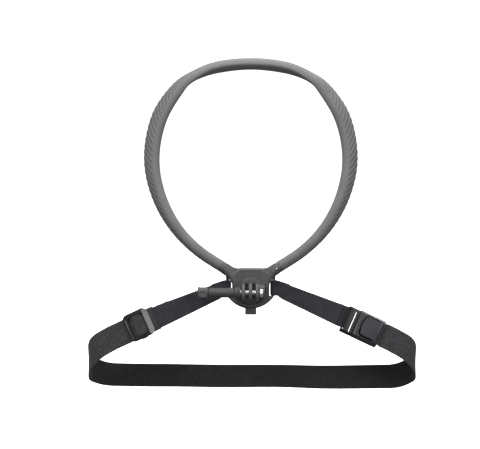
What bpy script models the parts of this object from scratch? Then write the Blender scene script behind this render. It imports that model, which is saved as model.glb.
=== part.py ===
"""Hands-free neck mount for an action camera, with an elastic chest strap.

Metres, +Z up, -Y is the front (away from the chest), +X to the wearer's left.
The origin is on the inner face of the band at the nape, where it rests.
"""

import math

import bmesh
import bpy
from mathutils import Matrix, Vector

MM = 0.001
GAP = 0.3 * MM

# Neck band: an oval section that twists along a closed egg-shaped line.
BAND_LONG = 7.5 * MM
BAND_SHORT = 4.75 * MM
BAND_SIDES = 16
BAND_STEPS = 4
CORE_START = 2
CORE_RADIUS = 2.0 * MM
FERRULE_RADIUS = 2.9 * MM
FERRULE_LENGTH = 4.6 * MM
# Half of the band's centreline: out, up (mm) and the turn of its wide face (deg).
BAND_LINE = (
    (0.0, 5.0, -14.0),
    (31.4, 1.6, -14.0),
    (53.8, -7.8, 8.0),
    (66.2, -18.4, 44.0),
    (79.8, -38.5, 58.0),
    (86.9, -61.3, 58.0),
    (88.5, -84.5, 54.0),
    (84.3, -107.1, 46.0),
    (75.5, -128.2, 37.0),
    (62.4, -147.1, 28.0),
    (45.4, -163.1, 24.0),
    (24.4, -177.0, 24.0),
    (12.0, -185.2, 20.0),
)

# Chest plate: the disc of the camera mount is its centre.
DISC_Z = -197.0 * MM
PLATE_TOP = -177.3 * MM
BODY_RADIUS = 15.6 * MM
SHELL_FRONT = -9.0 * MM
CAVITY_RADIUS = 13.9 * MM
CAVITY_FRONT = -6.4 * MM
DISC_RADIUS = 12.5 * MM
DISC_FRONT = -8.2 * MM
SKIRT_RADIUS = 13.6 * MM
SKIRT_FRONT = -6.1 * MM
SKIRT_BACK = -3.3 * MM
COVER_FRONT = 0.3 * MM
COVER_BACK = 4.3 * MM
FLANGE_RADIUS = 25.1 * MM
FLANGE_CENTRE_Z = -190.1 * MM
BAR_OUT = 22.8 * MM
SLOT_IN = 16.9 * MM
SLOT_OUT = 19.6 * MM
SLOT_HALF = 7.9 * MM
SLOT_Z = -196.0 * MM
PAD_BACK = 7.1 * MM
REAR_SCREW = (10.4 * MM, -184.0 * MM)

# Camera fingers and their clamping screw, which runs along X.
FINGER_PITCH = 6.2 * MM
FINGER_THICK = 3.0 * MM
FINGER_MIDDLE = -0.5 * MM
FINGER_HALF = 7.7 * MM
SCREW_Y = -18.5 * MM
THREAD_RADIUS = 2.35 * MM
BORE_RADIUS = 2.65 * MM
NUT_FLATS = 8.0 * MM
NUT_LEFT = 7.9 * MM
NUT_RIGHT = 11.4 * MM

# Straps: webbing that falls away from the plate on both sides.
WEB_WIDTH = 20.5 * MM
WEB_THICK = 1.2 * MM
TAB_THICK = 1.0 * MM
TAB_SLOPE = math.radians(23.0)
RUN_SLOPE = math.radians(25.4)
RUN_LEAN = math.radians(14.0)
LEFT_KNEE = (80.1 * MM, -220.3 * MM)
RIGHT_KNEE = (89.2 * MM, -224.4 * MM)
SLIDER_OUT = 101.2 * MM
RIGHT_EXTRA = 4.0 * MM
STRAP_BACK = 39.0 * MM
# Turn of the strap round the wearer's side: out, back, up (mm), tilt and lean (deg).
TURN = (
    (125.0, 0.0, -241.5, 25.4, 14.0),
    (136.9, 1.2, -248.4, 25.0, 15.0),
    (142.9, 3.2, -253.6, 22.0, 17.0),
    (146.4, 6.8, -258.9, 17.0, 19.0),
    (148.2, 11.8, -264.6, 9.0, 22.0),
    (148.4, 17.6, -270.0, 1.0, 22.0),
    (146.9, 23.6, -275.0, -7.0, 19.0),
    (143.0, 29.4, -280.0, -11.0, 12.0),
    (134.4, 34.0, -284.5, -10.0, 6.0),
    (119.7, 36.7, -286.2, -5.0, 2.0),
    (60.0, 38.4, -287.2, 0.0, 0.0),
)

PARTS = "neck_mount"
CUTTERS = "cutters"


# ---------------------------------------------------------------- scene helpers


def clear_scene():
    for obj in list(bpy.data.objects):
        bpy.data.objects.remove(obj)


def collection(name):
    found = bpy.data.collections.get(name)
    if found is None:
        found = bpy.data.collections.new(name)
        bpy.context.scene.collection.children.link(found)
    return found


def material(name, colour, roughness, metallic=0.0):
    found = bpy.data.materials.get(name)
    if found:
        return found
    made = bpy.data.materials.new(name)
    made.use_nodes = True
    shader = made.node_tree.nodes["Principled BSDF"]
    shader.inputs["Base Color"].default_value = (*colour, 1.0)
    shader.inputs["Roughness"].default_value = roughness
    shader.inputs["Metallic"].default_value = metallic
    return made


def silicone():
    return material("grey_silicone", (0.16, 0.16, 0.155), 0.62)


def shell_plastic():
    return material("dark_grey_plastic", (0.075, 0.075, 0.073), 0.5)


def black_plastic():
    return material("black_plastic", (0.022, 0.022, 0.024), 0.42)


def steel():
    return material("bright_steel", (0.72, 0.72, 0.70), 0.25, 1.0)


def core_metal():
    return material("aluminium_wire", (0.62, 0.62, 0.62), 0.4, 1.0)


def webbing():
    return material("elastic_webbing", (0.022, 0.022, 0.026), 0.85)


def tab_fabric():
    return material("tab_fabric", (0.02, 0.02, 0.028), 0.7)


def pad_foam():
    return material("pad_foam", (0.03, 0.03, 0.032), 0.9)


def add_object(name, mesh, mat, parent=None, matrix=None):
    obj = bpy.data.objects.new(name, mesh)
    if mat is None:
        collection(CUTTERS).objects.link(obj)
        obj.hide_render = True
        obj.display_type = "WIRE"
    else:
        collection(PARTS).objects.link(obj)
        mesh.materials.append(mat)
    if parent is not None:
        obj.parent = parent
    if matrix is not None:
        obj.matrix_basis = matrix
    return obj


def mesh_of(name, bm, round_piece=False):
    bmesh.ops.recalc_face_normals(bm, faces=bm.faces)
    mesh = bpy.data.meshes.new(name)
    bm.to_mesh(mesh)
    bm.free()
    if round_piece:
        mesh.shade_smooth()
        mesh.set_sharp_from_angle(angle=math.radians(35))
    return mesh


def empty_frame(name, matrix):
    obj = bpy.data.objects.new(name, None)
    collection(PARTS).objects.link(obj)
    obj.matrix_world = matrix
    return obj


# ---------------------------------------------------------------- shape helpers


def box(name, low, high, mat=None, parent=None):
    """A block between two corners."""
    low = Vector(low)
    high = Vector(high)
    bm = bmesh.new()
    place = Matrix.Translation((low + high) / 2) @ Matrix.Diagonal((*(high - low), 1.0))
    bmesh.ops.create_cube(bm, size=1.0, matrix=place)
    return add_object(name, mesh_of(name, bm), mat, parent)


def rod(name, start, end, radius, mat=None, parent=None, sides=32, spin=0.0):
    """A cylinder or a prism from one end point to the other."""
    start = Vector(start)
    end = Vector(end)
    axis = end - start
    turn = axis.to_track_quat("Z", "X").to_matrix().to_4x4()
    place = Matrix.Translation((start + end) / 2) @ turn @ Matrix.Rotation(spin, 4, "Z")
    bm = bmesh.new()
    bmesh.ops.create_cone(
        bm, cap_ends=True, segments=sides, radius1=radius, radius2=radius,
        depth=axis.length, matrix=place,
    )
    return add_object(name, mesh_of(name, bm, True), mat, parent)


def curve_mesh(name, data, matrix, mat, parent=None):
    """Turns curve data into a closed mesh object in the curve's place."""
    guide = bpy.data.objects.new(name + "_guide", data)
    bpy.context.scene.collection.objects.link(guide)
    guide.matrix_world = matrix
    bpy.context.view_layer.update()
    seen = guide.evaluated_get(bpy.context.evaluated_depsgraph_get())
    mesh = bpy.data.meshes.new_from_object(seen)
    bm = bmesh.new()
    bm.from_mesh(mesh)
    bmesh.ops.remove_doubles(bm, verts=bm.verts, dist=0.00001)
    bm.to_mesh(mesh)
    bm.free()
    mesh.materials.clear()
    bpy.data.objects.remove(guide)
    return add_object(name, mesh, mat, parent, matrix)


def tube(name, points, radius, mat=None, resolution=1):
    """A round wire or hose along a line of points, with closed ends."""
    data = bpy.data.curves.new(name, "CURVE")
    data.dimensions = "3D"
    data.bevel_depth = radius
    data.bevel_resolution = resolution
    data.use_fill_caps = True
    spline = data.splines.new("POLY")
    spline.points.add(len(points) - 1)
    for slot, point in zip(spline.points, points):
        slot.co = (*point, 1.0)
    obj = curve_mesh(name, data, Matrix.Identity(4), mat)
    obj.data.shade_smooth()
    obj.data.set_sharp_from_angle(angle=math.radians(50))
    return obj


def plate(name, outline, front, back, mat=None, parent=None, matrix=None):
    """A flat outline in X and Z, as thick as front to back along Y."""
    data = bpy.data.curves.new(name, "CURVE")
    data.dimensions = "2D"
    data.fill_mode = "BOTH"
    data.extrude = (back - front) / 2
    spline = data.splines.new("POLY")
    spline.use_cyclic_u = True
    spline.points.add(len(outline) - 1)
    for slot, (x, z) in zip(spline.points, outline):
        slot.co = (x, z, 0.0, 1.0)
    stand = Matrix.Translation((0, (front + back) / 2, 0)) @ Matrix.Rotation(math.pi / 2, 4, "X")
    if matrix is not None:
        stand = matrix @ stand
    return curve_mesh(name, data, stand, mat, parent)


def arc(centre, radius, start, end, steps):
    """Points of an arc in X and Z, angles in degrees."""
    points = []
    for step in range(steps + 1):
        angle = math.radians(start + (end - start) * step / steps)
        points.append((centre[0] + radius * math.cos(angle), centre[1] + radius * math.sin(angle)))
    return points


def rounded_rect(half_x, half_z, radius, steps=5):
    """A rectangle about the origin with round corners."""
    points = []
    for sign_x, sign_z, start in ((1, 1, 0), (-1, 1, 90), (-1, -1, 180), (1, -1, 270)):
        centre = (sign_x * (half_x - radius), sign_z * (half_z - radius))
        points += arc(centre, radius, start, start + 90, steps)
    return points


def loft(name, sections, mat=None):
    """A closed skin over a row of sections with the same number of points."""
    bm = bmesh.new()
    rings = []
    for section in sections:
        rings.append([bm.verts.new(point) for point in section])
    count = len(rings[0])
    for near, far in zip(rings, rings[1:]):
        for i in range(count):
            j = (i + 1) % count
            bm.faces.new((near[i], near[j], far[j], far[i]))
    bm.faces.new(rings[0])
    bm.faces.new(rings[-1])
    return add_object(name, mesh_of(name, bm, True), mat)


def turned(name, profile, centre, mat, parent=None, sides=24):
    """A body turned about an X axis; the profile is (along X, radius)."""
    bm = bmesh.new()
    verts = [bm.verts.new((radius, 0.0, along)) for along, radius in profile]
    for near, far in zip(verts, verts[1:]):
        bm.edges.new((near, far))
    mesh = bpy.data.meshes.new(name)
    bm.to_mesh(mesh)
    bm.free()
    place = Matrix.Translation(centre) @ Matrix.Rotation(math.pi / 2, 4, "Y")
    obj = add_object(name, mesh, mat, parent, place)
    screw = obj.modifiers.new("turn", "SCREW")
    screw.steps = sides
    screw.render_steps = sides
    screw.use_merge_vertices = True
    screw.merge_threshold = 0.00001
    screw.use_normal_calculate = True
    return obj


def boolean(obj, other, operation):
    step = obj.modifiers.new(operation.lower(), "BOOLEAN")
    step.operation = operation
    step.object = other
    step.solver = "EXACT"


def cut(obj, *others):
    for other in others:
        boolean(obj, other, "DIFFERENCE")


def join(obj, *others):
    for other in others:
        boolean(obj, other, "UNION")


def round_edges(obj, width, segments=2, angle=35):
    step = obj.modifiers.new("round", "BEVEL")
    step.width = width
    step.segments = segments
    step.limit_method = "ANGLE"
    step.angle_limit = math.radians(angle)


def smooth(stations, steps):
    """A Catmull-Rom line through rows of numbers."""
    rows = [stations[0], *stations, stations[-1]]
    line = []
    for a, b, c, d in zip(rows, rows[1:], rows[2:], rows[3:]):
        for step in range(steps):
            t = step / steps
            line.append(tuple(
                0.5 * (2 * q + (r - p) * t + (2 * p - 5 * q + 4 * r - s) * t * t
                       + (3 * q - p - 3 * r + s) * t * t * t)
                for p, q, r, s in zip(a, b, c, d)
            ))
    line.append(tuple(stations[-1]))
    return line


# ---------------------------------------------------------------- neck band


def band_line():
    """The whole centreline, right end to left end: out, up and turn."""
    mirrored = [(-out, up, turn) for out, up, turn in BAND_LINE[1:]]
    whole = [*reversed(BAND_LINE[1:]), BAND_LINE[0], *mirrored]
    return smooth(whole, BAND_STEPS)


def band_section(line, i, grow=0.0):
    """The oval section at one place of the centreline."""
    out, up, turn = line[i]
    before = line[max(i - 1, 0)]
    after = line[min(i + 1, len(line) - 1)]
    along = Vector((after[0] - before[0], 0.0, after[1] - before[1])).normalized()
    outward = Vector((along.z, 0.0, -along.x))
    front = Vector((0.0, -1.0, 0.0))
    angle = math.radians(turn)
    face = outward * math.cos(angle) + front * math.sin(angle)
    wide = front * math.cos(angle) - outward * math.sin(angle)
    centre = Vector((out, 0.0, up)) * MM
    points = []
    for side in range(BAND_SIDES):
        t = 2 * math.pi * side / BAND_SIDES
        points.append(centre + wide * (BAND_LONG + grow) * math.cos(t)
                      + face * (BAND_SHORT + grow) * math.sin(t))
    return points


def make_band(line):
    """Silicone sleeve, the bendable core inside it and the ferrules on its ends."""
    core_points = [Vector((out, 0.0, up)) * MM for out, up, turn in line]
    first = BAND_STEPS
    last = len(line) - 1 - BAND_STEPS
    sleeve = loft("neck_sleeve", [band_section(line, i) for i in range(first, last + 1)], silicone())
    cut(sleeve, tube("core_bore", core_points, CORE_RADIUS + GAP))
    tube("core_wire", core_points[CORE_START:-CORE_START], CORE_RADIUS, core_metal())
    for name, tip, inner in (("ferrule_right", core_points[CORE_START], core_points[BAND_STEPS]),
                             ("ferrule_left", core_points[-1 - CORE_START], core_points[-1 - BAND_STEPS])):
        along = (inner - tip).normalized()
        start = tip + along * 0.3 * MM
        ferrule = rod(name, start, start + along * FERRULE_LENGTH, FERRULE_RADIUS, core_metal(), sides=20)
        cut(ferrule, tube(name + "_bore", core_points, CORE_RADIUS + GAP))


# ---------------------------------------------------------------- chest plate


def body_outline():
    """U-shaped front: a short top edge, shoulders and a round bottom."""
    side = [(-9.8 * MM, PLATE_TOP), (-17.0 * MM, -181.6 * MM), (-16.0 * MM, -190.0 * MM)]
    bottom = arc((0.0, DISC_Z), BODY_RADIUS, 180, 360, 24)
    return side + bottom + [(-x, z) for x, z in reversed(side)]


def cover_outline(grow=0.0):
    """Rear cover with the strap bars: straight sides and a wide round bottom."""
    edge = BAR_OUT + grow
    side = [(-9.0 * MM - grow, -178.4 * MM + grow), (-15.4 * MM - grow, -184.0 * MM + grow),
            (-edge, -187.6 * MM + grow)]
    radius = FLANGE_RADIUS + grow
    start = 180 + math.degrees(math.acos(edge / radius))
    bottom = arc((0.0, FLANGE_CENTRE_Z), radius, start, 540 - start, 24)
    return side + bottom + [(-x, z) for x, z in reversed(side)]


def make_front_shell(line):
    shell = plate("front_shell", body_outline(), SHELL_FRONT, 0.6 * MM, shell_plastic())
    round_edges(shell, 2.2 * MM, 3, 40)
    count = len(line)
    for name, places in (("arm_right", range(BAND_STEPS + 1)),
                         ("arm_left", range(count - BAND_STEPS - 1, count))):
        sections = [band_section(line, i, 0.1 * MM) for i in places]
        open_end = sections[-1] if places[0] == 0 else sections[0]
        inner_end = sections[-2] if places[0] == 0 else sections[1]
        pull = (inner_end[0] - open_end[0]).normalized() * GAP
        for point in open_end:
            point += pull
        join(shell, loft(name, sections))
    front = plate("rear_clearance", cover_outline(GAP), 0.0, 12 * MM)
    cavity = rod("cavity", (0, CAVITY_FRONT, DISC_Z), (0, 4 * MM, DISC_Z), CAVITY_RADIUS, sides=40)
    bore = rod("disc_bore", (0, -20 * MM, DISC_Z), (0, 0, DISC_Z), DISC_RADIUS + GAP, sides=40)
    core_points = [Vector((out, 0.0, up)) * MM for out, up, turn in line]
    sockets = []
    for name, ends in (("socket_right", core_points[1:7]), ("socket_left", core_points[-7:-1])):
        sockets.append(tube(name, ends, FERRULE_RADIUS + GAP, resolution=3))
    tab_slot = box("tab_slot", (-5.4 * MM, -4.9 * MM, DISC_Z - 18 * MM), (5.4 * MM, 1 * MM, DISC_Z - 12 * MM))
    panel = plate("panel_recess", ((-8.4 * MM, -178.5 * MM), (-7.0 * MM, -188.0 * MM),
                                   (7.0 * MM, -188.0 * MM), (8.4 * MM, -178.5 * MM)),
                  -12 * MM, SHELL_FRONT + 0.9 * MM)
    cut(shell, front, cavity, bore, *sockets, tab_slot, panel)
    for sign in (-1, 1):
        x = sign * REAR_SCREW[0]
        cut(shell, rod("pilot", (x, -5.5 * MM, REAR_SCREW[1]), (x, 3 * MM, REAR_SCREW[1]), 1.1 * MM, sides=16))
    cut(shell, rod("pin_hole", (23.0 * MM, -12 * MM, -177.2 * MM), (23.0 * MM, -5.6 * MM, -177.2 * MM),
                   1.3 * MM, sides=16))
    rod("locking_pin", (23.0 * MM, -7.3 * MM, -177.2 * MM), (23.0 * MM, -5.9 * MM, -177.2 * MM),
        1.0 * MM, steel(), sides=16)


def make_rear_cover():
    cover = plate("rear_cover", cover_outline(), COVER_FRONT, COVER_BACK, shell_plastic())
    round_edges(cover, 0.7 * MM, 2, 40)
    for sign in (-1, 1):
        slot = rounded_rect((SLOT_OUT - SLOT_IN) / 2, SLOT_HALF, 1.2 * MM)
        centre = sign * (SLOT_IN + SLOT_OUT) / 2
        outline = [(x + centre, z + SLOT_Z) for x, z in slot]
        cut(cover, plate("strap_slot", outline, -2 * MM, 8 * MM))
        x = sign * REAR_SCREW[0]
        z = REAR_SCREW[1]
        cut(cover, rod("screw_hole", (x, -2 * MM, z), (x, 8 * MM, z), 1.1 * MM, sides=16))
        cut(cover, rod("counterbore", (x, 2.6 * MM, z), (x, 8 * MM, z), 2.2 * MM, sides=20))
    seat = box("spring_seat", (-4.5 * MM, -3.0 * MM, DISC_Z - 0.3 * MM), (4.5 * MM, 0.6 * MM, DISC_Z + 1.9 * MM))
    join(cover, seat)
    for side, sign in (("left", -1), ("right", 1)):
        x = sign * REAR_SCREW[0]
        z = REAR_SCREW[1]
        screw = rod("rear_screw_" + side, (x, 2.9 * MM, z), (x, 4.1 * MM, z), 1.8 * MM, steel(), sides=20)
        join(screw, rod("shank", (x, -4.8 * MM, z), (x, 3.0 * MM, z), 0.8 * MM, sides=16))
        cut(screw, rod("hex_socket", (x, 3.4 * MM, z), (x, 5 * MM, z), 0.8 * MM, sides=6))


def make_chest_pad():
    side = [(-8.6 * MM, -179.4 * MM), (-15.4 * MM, -184.0 * MM)]
    bottom = arc((0.0, DISC_Z), 15.4 * MM, 180, 360, 20)
    outline = side + bottom + [(-x, z) for x, z in reversed(side)]
    pad = plate("chest_pad", outline, COVER_BACK + GAP, PAD_BACK, pad_foam())
    round_edges(pad, 0.8 * MM, 2, 40)


# ---------------------------------------------------------------- camera mount


def finger_outline(half, tip):
    """Side view of a finger in Y and Z about the screw: straight, then a round tip."""
    points = [(DISC_FRONT + 1.0 * MM, DISC_Z - half), (DISC_FRONT + 1.0 * MM, DISC_Z + half)]
    for step in range(13):
        angle = math.pi / 2 + math.pi * step / 12
        points.append((SCREW_Y + tip * math.cos(angle), DISC_Z + half * math.sin(angle)))
    return points


def side_plate(name, outline, left, right):
    """A flat outline in Y and Z, as thick as left to right along X."""
    turn = Matrix.Rotation(math.pi / 2, 4, "Z")
    return plate(name, outline, -right, -left, None, None, turn)


def make_insert():
    pivot = empty_frame("insert_axis", Matrix.Translation((0, 0, DISC_Z)))
    insert = rod("mount_insert", (0, DISC_FRONT, 0), (0, SKIRT_FRONT + 0.5 * MM, 0), DISC_RADIUS,
                 shell_plastic(), pivot, sides=40)
    round_edges(insert, 0.5 * MM, 2, 50)
    join(insert, rod("skirt", (0, SKIRT_FRONT, DISC_Z), (0, SKIRT_BACK, DISC_Z), SKIRT_RADIUS, sides=40))
    for place in (-1, 0, 1):
        middle = FINGER_MIDDLE + place * FINGER_PITCH
        finger = side_plate("finger", finger_outline(FINGER_HALF, 7.5 * MM),
                            middle - FINGER_THICK / 2, middle + FINGER_THICK / 2)
        join(insert, finger)
    join(insert, side_plate("nut_boss", finger_outline(6.4 * MM, 5.2 * MM), 7.0 * MM, 12.1 * MM))
    pocket = box("pocket", (NUT_LEFT - GAP, -30 * MM, DISC_Z - 4.95 * MM),
                 (NUT_RIGHT + GAP, SCREW_Y + NUT_FLATS / 2 + GAP, DISC_Z + 4.95 * MM))
    bore = rod("finger_bore", (-20 * MM, SCREW_Y, DISC_Z), (20 * MM, SCREW_Y, DISC_Z), BORE_RADIUS)
    rim = rod("rim_clearance", (0, SHELL_FRONT - 0.4 * MM, DISC_Z), (0, SKIRT_FRONT - 0.1 * MM, DISC_Z),
              18 * MM, sides=40)
    cut(rim, rod("rim_core", (0, -12 * MM, DISC_Z), (0, 0, DISC_Z), DISC_RADIUS, sides=40))
    hollow = rod("skirt_hollow", (0, -5.2 * MM, DISC_Z), (0, 0, DISC_Z), 10.6 * MM, sides=40)
    cut(insert, rim, pocket, bore, hollow)
    for quarter in range(4):
        notch = box("notch", (-1.7 * MM, -5.2 * MM, -12.4 * MM), (1.7 * MM, 0, -9.0 * MM))
        notch.matrix_basis = Matrix.Translation((0, 0, DISC_Z)) @ Matrix.Rotation(quarter * math.pi / 2, 4, "Y")
        cut(insert, notch)
    nut = rod("hex_nut", (NUT_LEFT, SCREW_Y, 0), (NUT_RIGHT, SCREW_Y, 0), NUT_FLATS / math.sqrt(3),
              steel(), pivot, sides=6, spin=math.pi / 6)
    cut(nut, rod("nut_bore", (0, SCREW_Y, DISC_Z), (20 * MM, SCREW_Y, DISC_Z), BORE_RADIUS))
    ring = rod("retaining_ring", (0, -3.0 * MM, DISC_Z), (0, 0, DISC_Z), SKIRT_RADIUS, steel(), sides=40)
    cut(ring, rod("ring_hole", (0, -6 * MM, DISC_Z), (0, 6 * MM, DISC_Z), 11.2 * MM, sides=40))
    cut(ring, box("ring_gap", (-4.6 * MM, -6 * MM, DISC_Z - 16 * MM), (4.6 * MM, 6 * MM, DISC_Z - 4 * MM)))


def make_release_button():
    pivot = empty_frame("button_axis", Matrix.Translation((0, 0, DISC_Z)))
    button = box("release_button", (-5.1 * MM, -4.6 * MM, -22.7 * MM), (5.1 * MM, -0.1 * MM, -16.5 * MM),
                 shell_plastic(), pivot)
    round_edges(button, 0.8 * MM, 2)
    stem = box("stem", (-4.0 * MM, -2.9 * MM, DISC_Z - 18 * MM), (4.0 * MM, -1.3 * MM, DISC_Z - 6.5 * MM))
    tooth = box("tooth", (-1.4 * MM, -4.9 * MM, DISC_Z - 10.3 * MM), (1.4 * MM, -2.0 * MM, DISC_Z - 8.2 * MM))
    join(button, stem, tooth)
    for side, x in (("left", -2.3 * MM), ("right", 2.3 * MM)):
        coil = []
        turns = 5
        for step in range(turns * 10 + 1):
            angle = 2 * math.pi * step / 10
            rise = DISC_Z - 6.0 * MM + 5.2 * MM * step / (turns * 10)
            coil.append((x + 1.0 * MM * math.cos(angle), -2.1 * MM + 1.0 * MM * math.sin(angle), rise))
        tube("button_spring_" + side, coil, 0.2 * MM, steel(), resolution=1)


# ---------------------------------------------------------------- thumb screw


def make_thumb_screw():
    pivot = empty_frame("screw_axis", Matrix.Translation((0, SCREW_Y, DISC_Z)))
    here = (0, 0, 0)
    bore = (-30.0 * MM, BORE_RADIUS)
    turned("screw_shaft", ((-29.7 * MM, 0.0), (-29.7 * MM, THREAD_RADIUS), (11.0 * MM, THREAD_RADIUS),
                           (11.6 * MM, THREAD_RADIUS - 0.6 * MM), (11.6 * MM, 0.0)), here, steel(), pivot)
    collar = 5.3 * MM
    grip = 4.35 * MM
    turned("screw_grip", (
        (-37.6 * MM, 0.0), (-37.6 * MM, grip - 0.4 * MM), (-37.2 * MM, grip), (-15.9 * MM, grip),
        (-15.5 * MM, grip - 0.4 * MM), (-14.6 * MM, grip - 0.4 * MM), (-14.1 * MM, collar - 0.4 * MM),
        (-13.7 * MM, collar), (-11.9 * MM, collar), (-11.7 * MM, collar - 0.5 * MM),
        (-11.5 * MM, collar), (-9.6 * MM, collar), (-9.3 * MM, collar - 0.3 * MM),
        (-9.3 * MM, BORE_RADIUS), bore, (-30.0 * MM, 0.0)), here, shell_plastic(), pivot)
    cap = turned("grip_cap", (
        (-47.3 * MM, 0.0), (-47.3 * MM, collar - 0.8 * MM), (-46.5 * MM, collar), (-38.6 * MM, collar),
        (-38.1 * MM, collar - 0.5 * MM), (-38.1 * MM, 0.0)), here, shell_plastic(), pivot)
    flats = []
    for quarter in range(4):
        flat = box("cap_flat", (-46.0 * MM, -7 * MM, -7 * MM), (-39.4 * MM, -4.5 * MM, 7 * MM))
        flat.matrix_basis = (Matrix.Translation((0, SCREW_Y, DISC_Z))
                             @ Matrix.Rotation(quarter * math.pi / 2, 4, "X"))
        flats.append(flat)
    cut(cap, *flats)
    washer = rod("thrust_washer", (-8.95 * MM, 0, 0), (-8.5 * MM, 0, 0), 4.2 * MM, steel(), pivot, sides=28)
    cut(washer, rod("washer_bore", (-12 * MM, SCREW_Y, DISC_Z), (0, SCREW_Y, DISC_Z), BORE_RADIUS))


# ---------------------------------------------------------------- straps


def across(side, tilt, lean):
    """Unit vector over the webbing's width, from its lower edge to its upper edge."""
    return Vector((side * math.sin(tilt) * math.cos(lean), math.sin(lean), math.cos(tilt) * math.cos(lean)))


def ribbon(name, stations, thick, mat):
    """Webbing through stations of centre and half-width vector, made solid."""
    bm = bmesh.new()
    rows = []
    for centre, half in stations:
        rows.append([bm.verts.new(centre + half * share) for share in (-1.0, 0.0, 1.0)])
    for near, far in zip(rows, rows[1:]):
        for i in (0, 1):
            bm.faces.new((near[i], near[i + 1], far[i + 1], far[i]))
    obj = add_object(name, mesh_of(name, bm), mat)
    solid = obj.modifiers.new("thick", "SOLIDIFY")
    solid.thickness = thick
    solid.offset = 0.0
    solid.use_even_offset = True
    return obj


def run_matrix(side, out, up):
    """Frame of the straight run: X outward along it, Z over its width, -Y to the front."""
    along = Vector((side * math.cos(RUN_SLOPE), 0.0, -math.sin(RUN_SLOPE)))
    over = across(side, RUN_SLOPE, RUN_LEAN)
    back = over.cross(along)
    if back.y < 0:
        back = -back
    columns = (along, back, over)
    turn = Matrix([[column[row] for column in columns] for row in range(3)]).to_4x4()
    return Matrix.Translation((side * out, 0.0, up)) @ turn


def turn_stations(side, extra):
    rows = []
    for out, back, up, tilt, lean in smooth(TURN, 4):
        half = across(side, math.radians(tilt), math.radians(lean)) * WEB_WIDTH / 2
        drop = extra * math.tan(RUN_SLOPE) * (1 - back * MM / STRAP_BACK)
        rows.append((Vector((side * (out * MM + extra), back * MM, up * MM - drop)), half))
    return rows


def make_elastic_strap():
    """One band of elastic from the left tab, round the back, to the buckle."""
    over = across(-1, RUN_SLOPE, RUN_LEAN) * WEB_WIDTH / 2
    left = []
    for out in (72.0, 90.0, 108.0):
        reach = out * MM - LEFT_KNEE[0]
        left.append((Vector((-out * MM, 0.0, LEFT_KNEE[1] - reach * math.tan(RUN_SLOPE))), over))
    over = across(1, RUN_SLOPE, RUN_LEAN) * WEB_WIDTH / 2
    start = 31.6 * MM * math.cos(RUN_SLOPE)
    up = RIGHT_KNEE[1] - 31.6 * MM * math.sin(RUN_SLOPE)
    right = [(Vector((RIGHT_KNEE[0] + start, 0.0, up)), over)]
    middle = [(Vector((x * MM, STRAP_BACK, -287.6 * MM)), Vector((0, 0, WEB_WIDTH / 2))) for x in (-30, 0, 30)]
    stations = (left + turn_stations(-1, 0.0) + middle
                + list(reversed(turn_stations(1, RIGHT_EXTRA))) + right)
    ribbon("elastic_strap", stations, WEB_THICK, webbing())


def tab_loop(side):
    """The tab's wrap round the plate's bar, in X and Y, behind it first."""
    route = ((33.0, 1.6), (28.0, 3.6), (23.8, 5.2), (20.8, 5.3), (18.8, 4.8),
             (18.1, 2.4), (18.7, -0.5), (20.8, -0.95), (24.0, -0.95))
    rows = []
    for out, back in smooth(route, 3):
        share = min(max((out - 24.0) / 9.0, 0.0), 1.0)
        drop = share * 9.0 * MM * math.tan(TAB_SLOPE)
        half = across(side, TAB_SLOPE * share, 0.0) * (6.6 + share) * MM
        rows.append((Vector((side * out * MM, back * MM, -196.2 * MM - drop)), half))
    return rows


def tab_run(side, knee, front):
    """The tab's straight run from the bar to the knee, widening and leaning as it goes."""
    start = Vector((24.0 * MM, -0.95 * MM, -196.2 * MM))
    end = Vector((knee[0], front, knee[1]))
    rows = []
    for step in range(1, 9):
        share = step / 8
        place = start.lerp(end, share)
        half = across(side, TAB_SLOPE + (RUN_SLOPE - TAB_SLOPE) * share, RUN_LEAN * share)
        rows.append((Vector((side * place.x, place.y, place.z)), half * (6.8 + 3.2 * share) * MM))
    return rows


def make_left_tab():
    stations = tab_loop(-1) + tab_run(-1, LEFT_KNEE, -2.2 * MM)
    over = stations[-1][1]
    reach = 5.5 * MM
    end = stations[-1][0] + Vector((-math.cos(RUN_SLOPE), 0.0, -math.sin(RUN_SLOPE))) * reach
    ribbon("left_tab", stations + [(end, over)], TAB_THICK, tab_fabric())


def make_right_tab():
    """The right tab runs to the buckle and loops round its end bar."""
    knee = (RIGHT_KNEE[0] - 6.6 * MM, RIGHT_KNEE[1] + 6.6 * MM * math.tan(RUN_SLOPE))
    stations = tab_loop(1) + tab_run(1, knee, -1.6 * MM)
    place = run_matrix(1, *RIGHT_KNEE)
    over = across(1, RUN_SLOPE, RUN_LEAN) * 9.8 * MM
    for along, back in ((-3.6, -2.0), (-1.6, -1.7), (-0.55, -0.6), (-0.55, 0.8), (-1.6, 1.9),
                        (-4.0, 2.0), (-7.0, 1.5), (-12.0, 1.0)):
        stations.append((place @ Vector((along * MM, back * MM, 0.0)), over))
    ribbon("right_tab", stations, TAB_THICK, tab_fabric())


# ---------------------------------------------------------------- strap fittings


def local_box(name, frame, low, high):
    """A cutter block in a tilted frame, corners in millimetres."""
    obj = box(name, [v * MM for v in low], [v * MM for v in high])
    obj.matrix_basis = frame
    return obj


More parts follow.
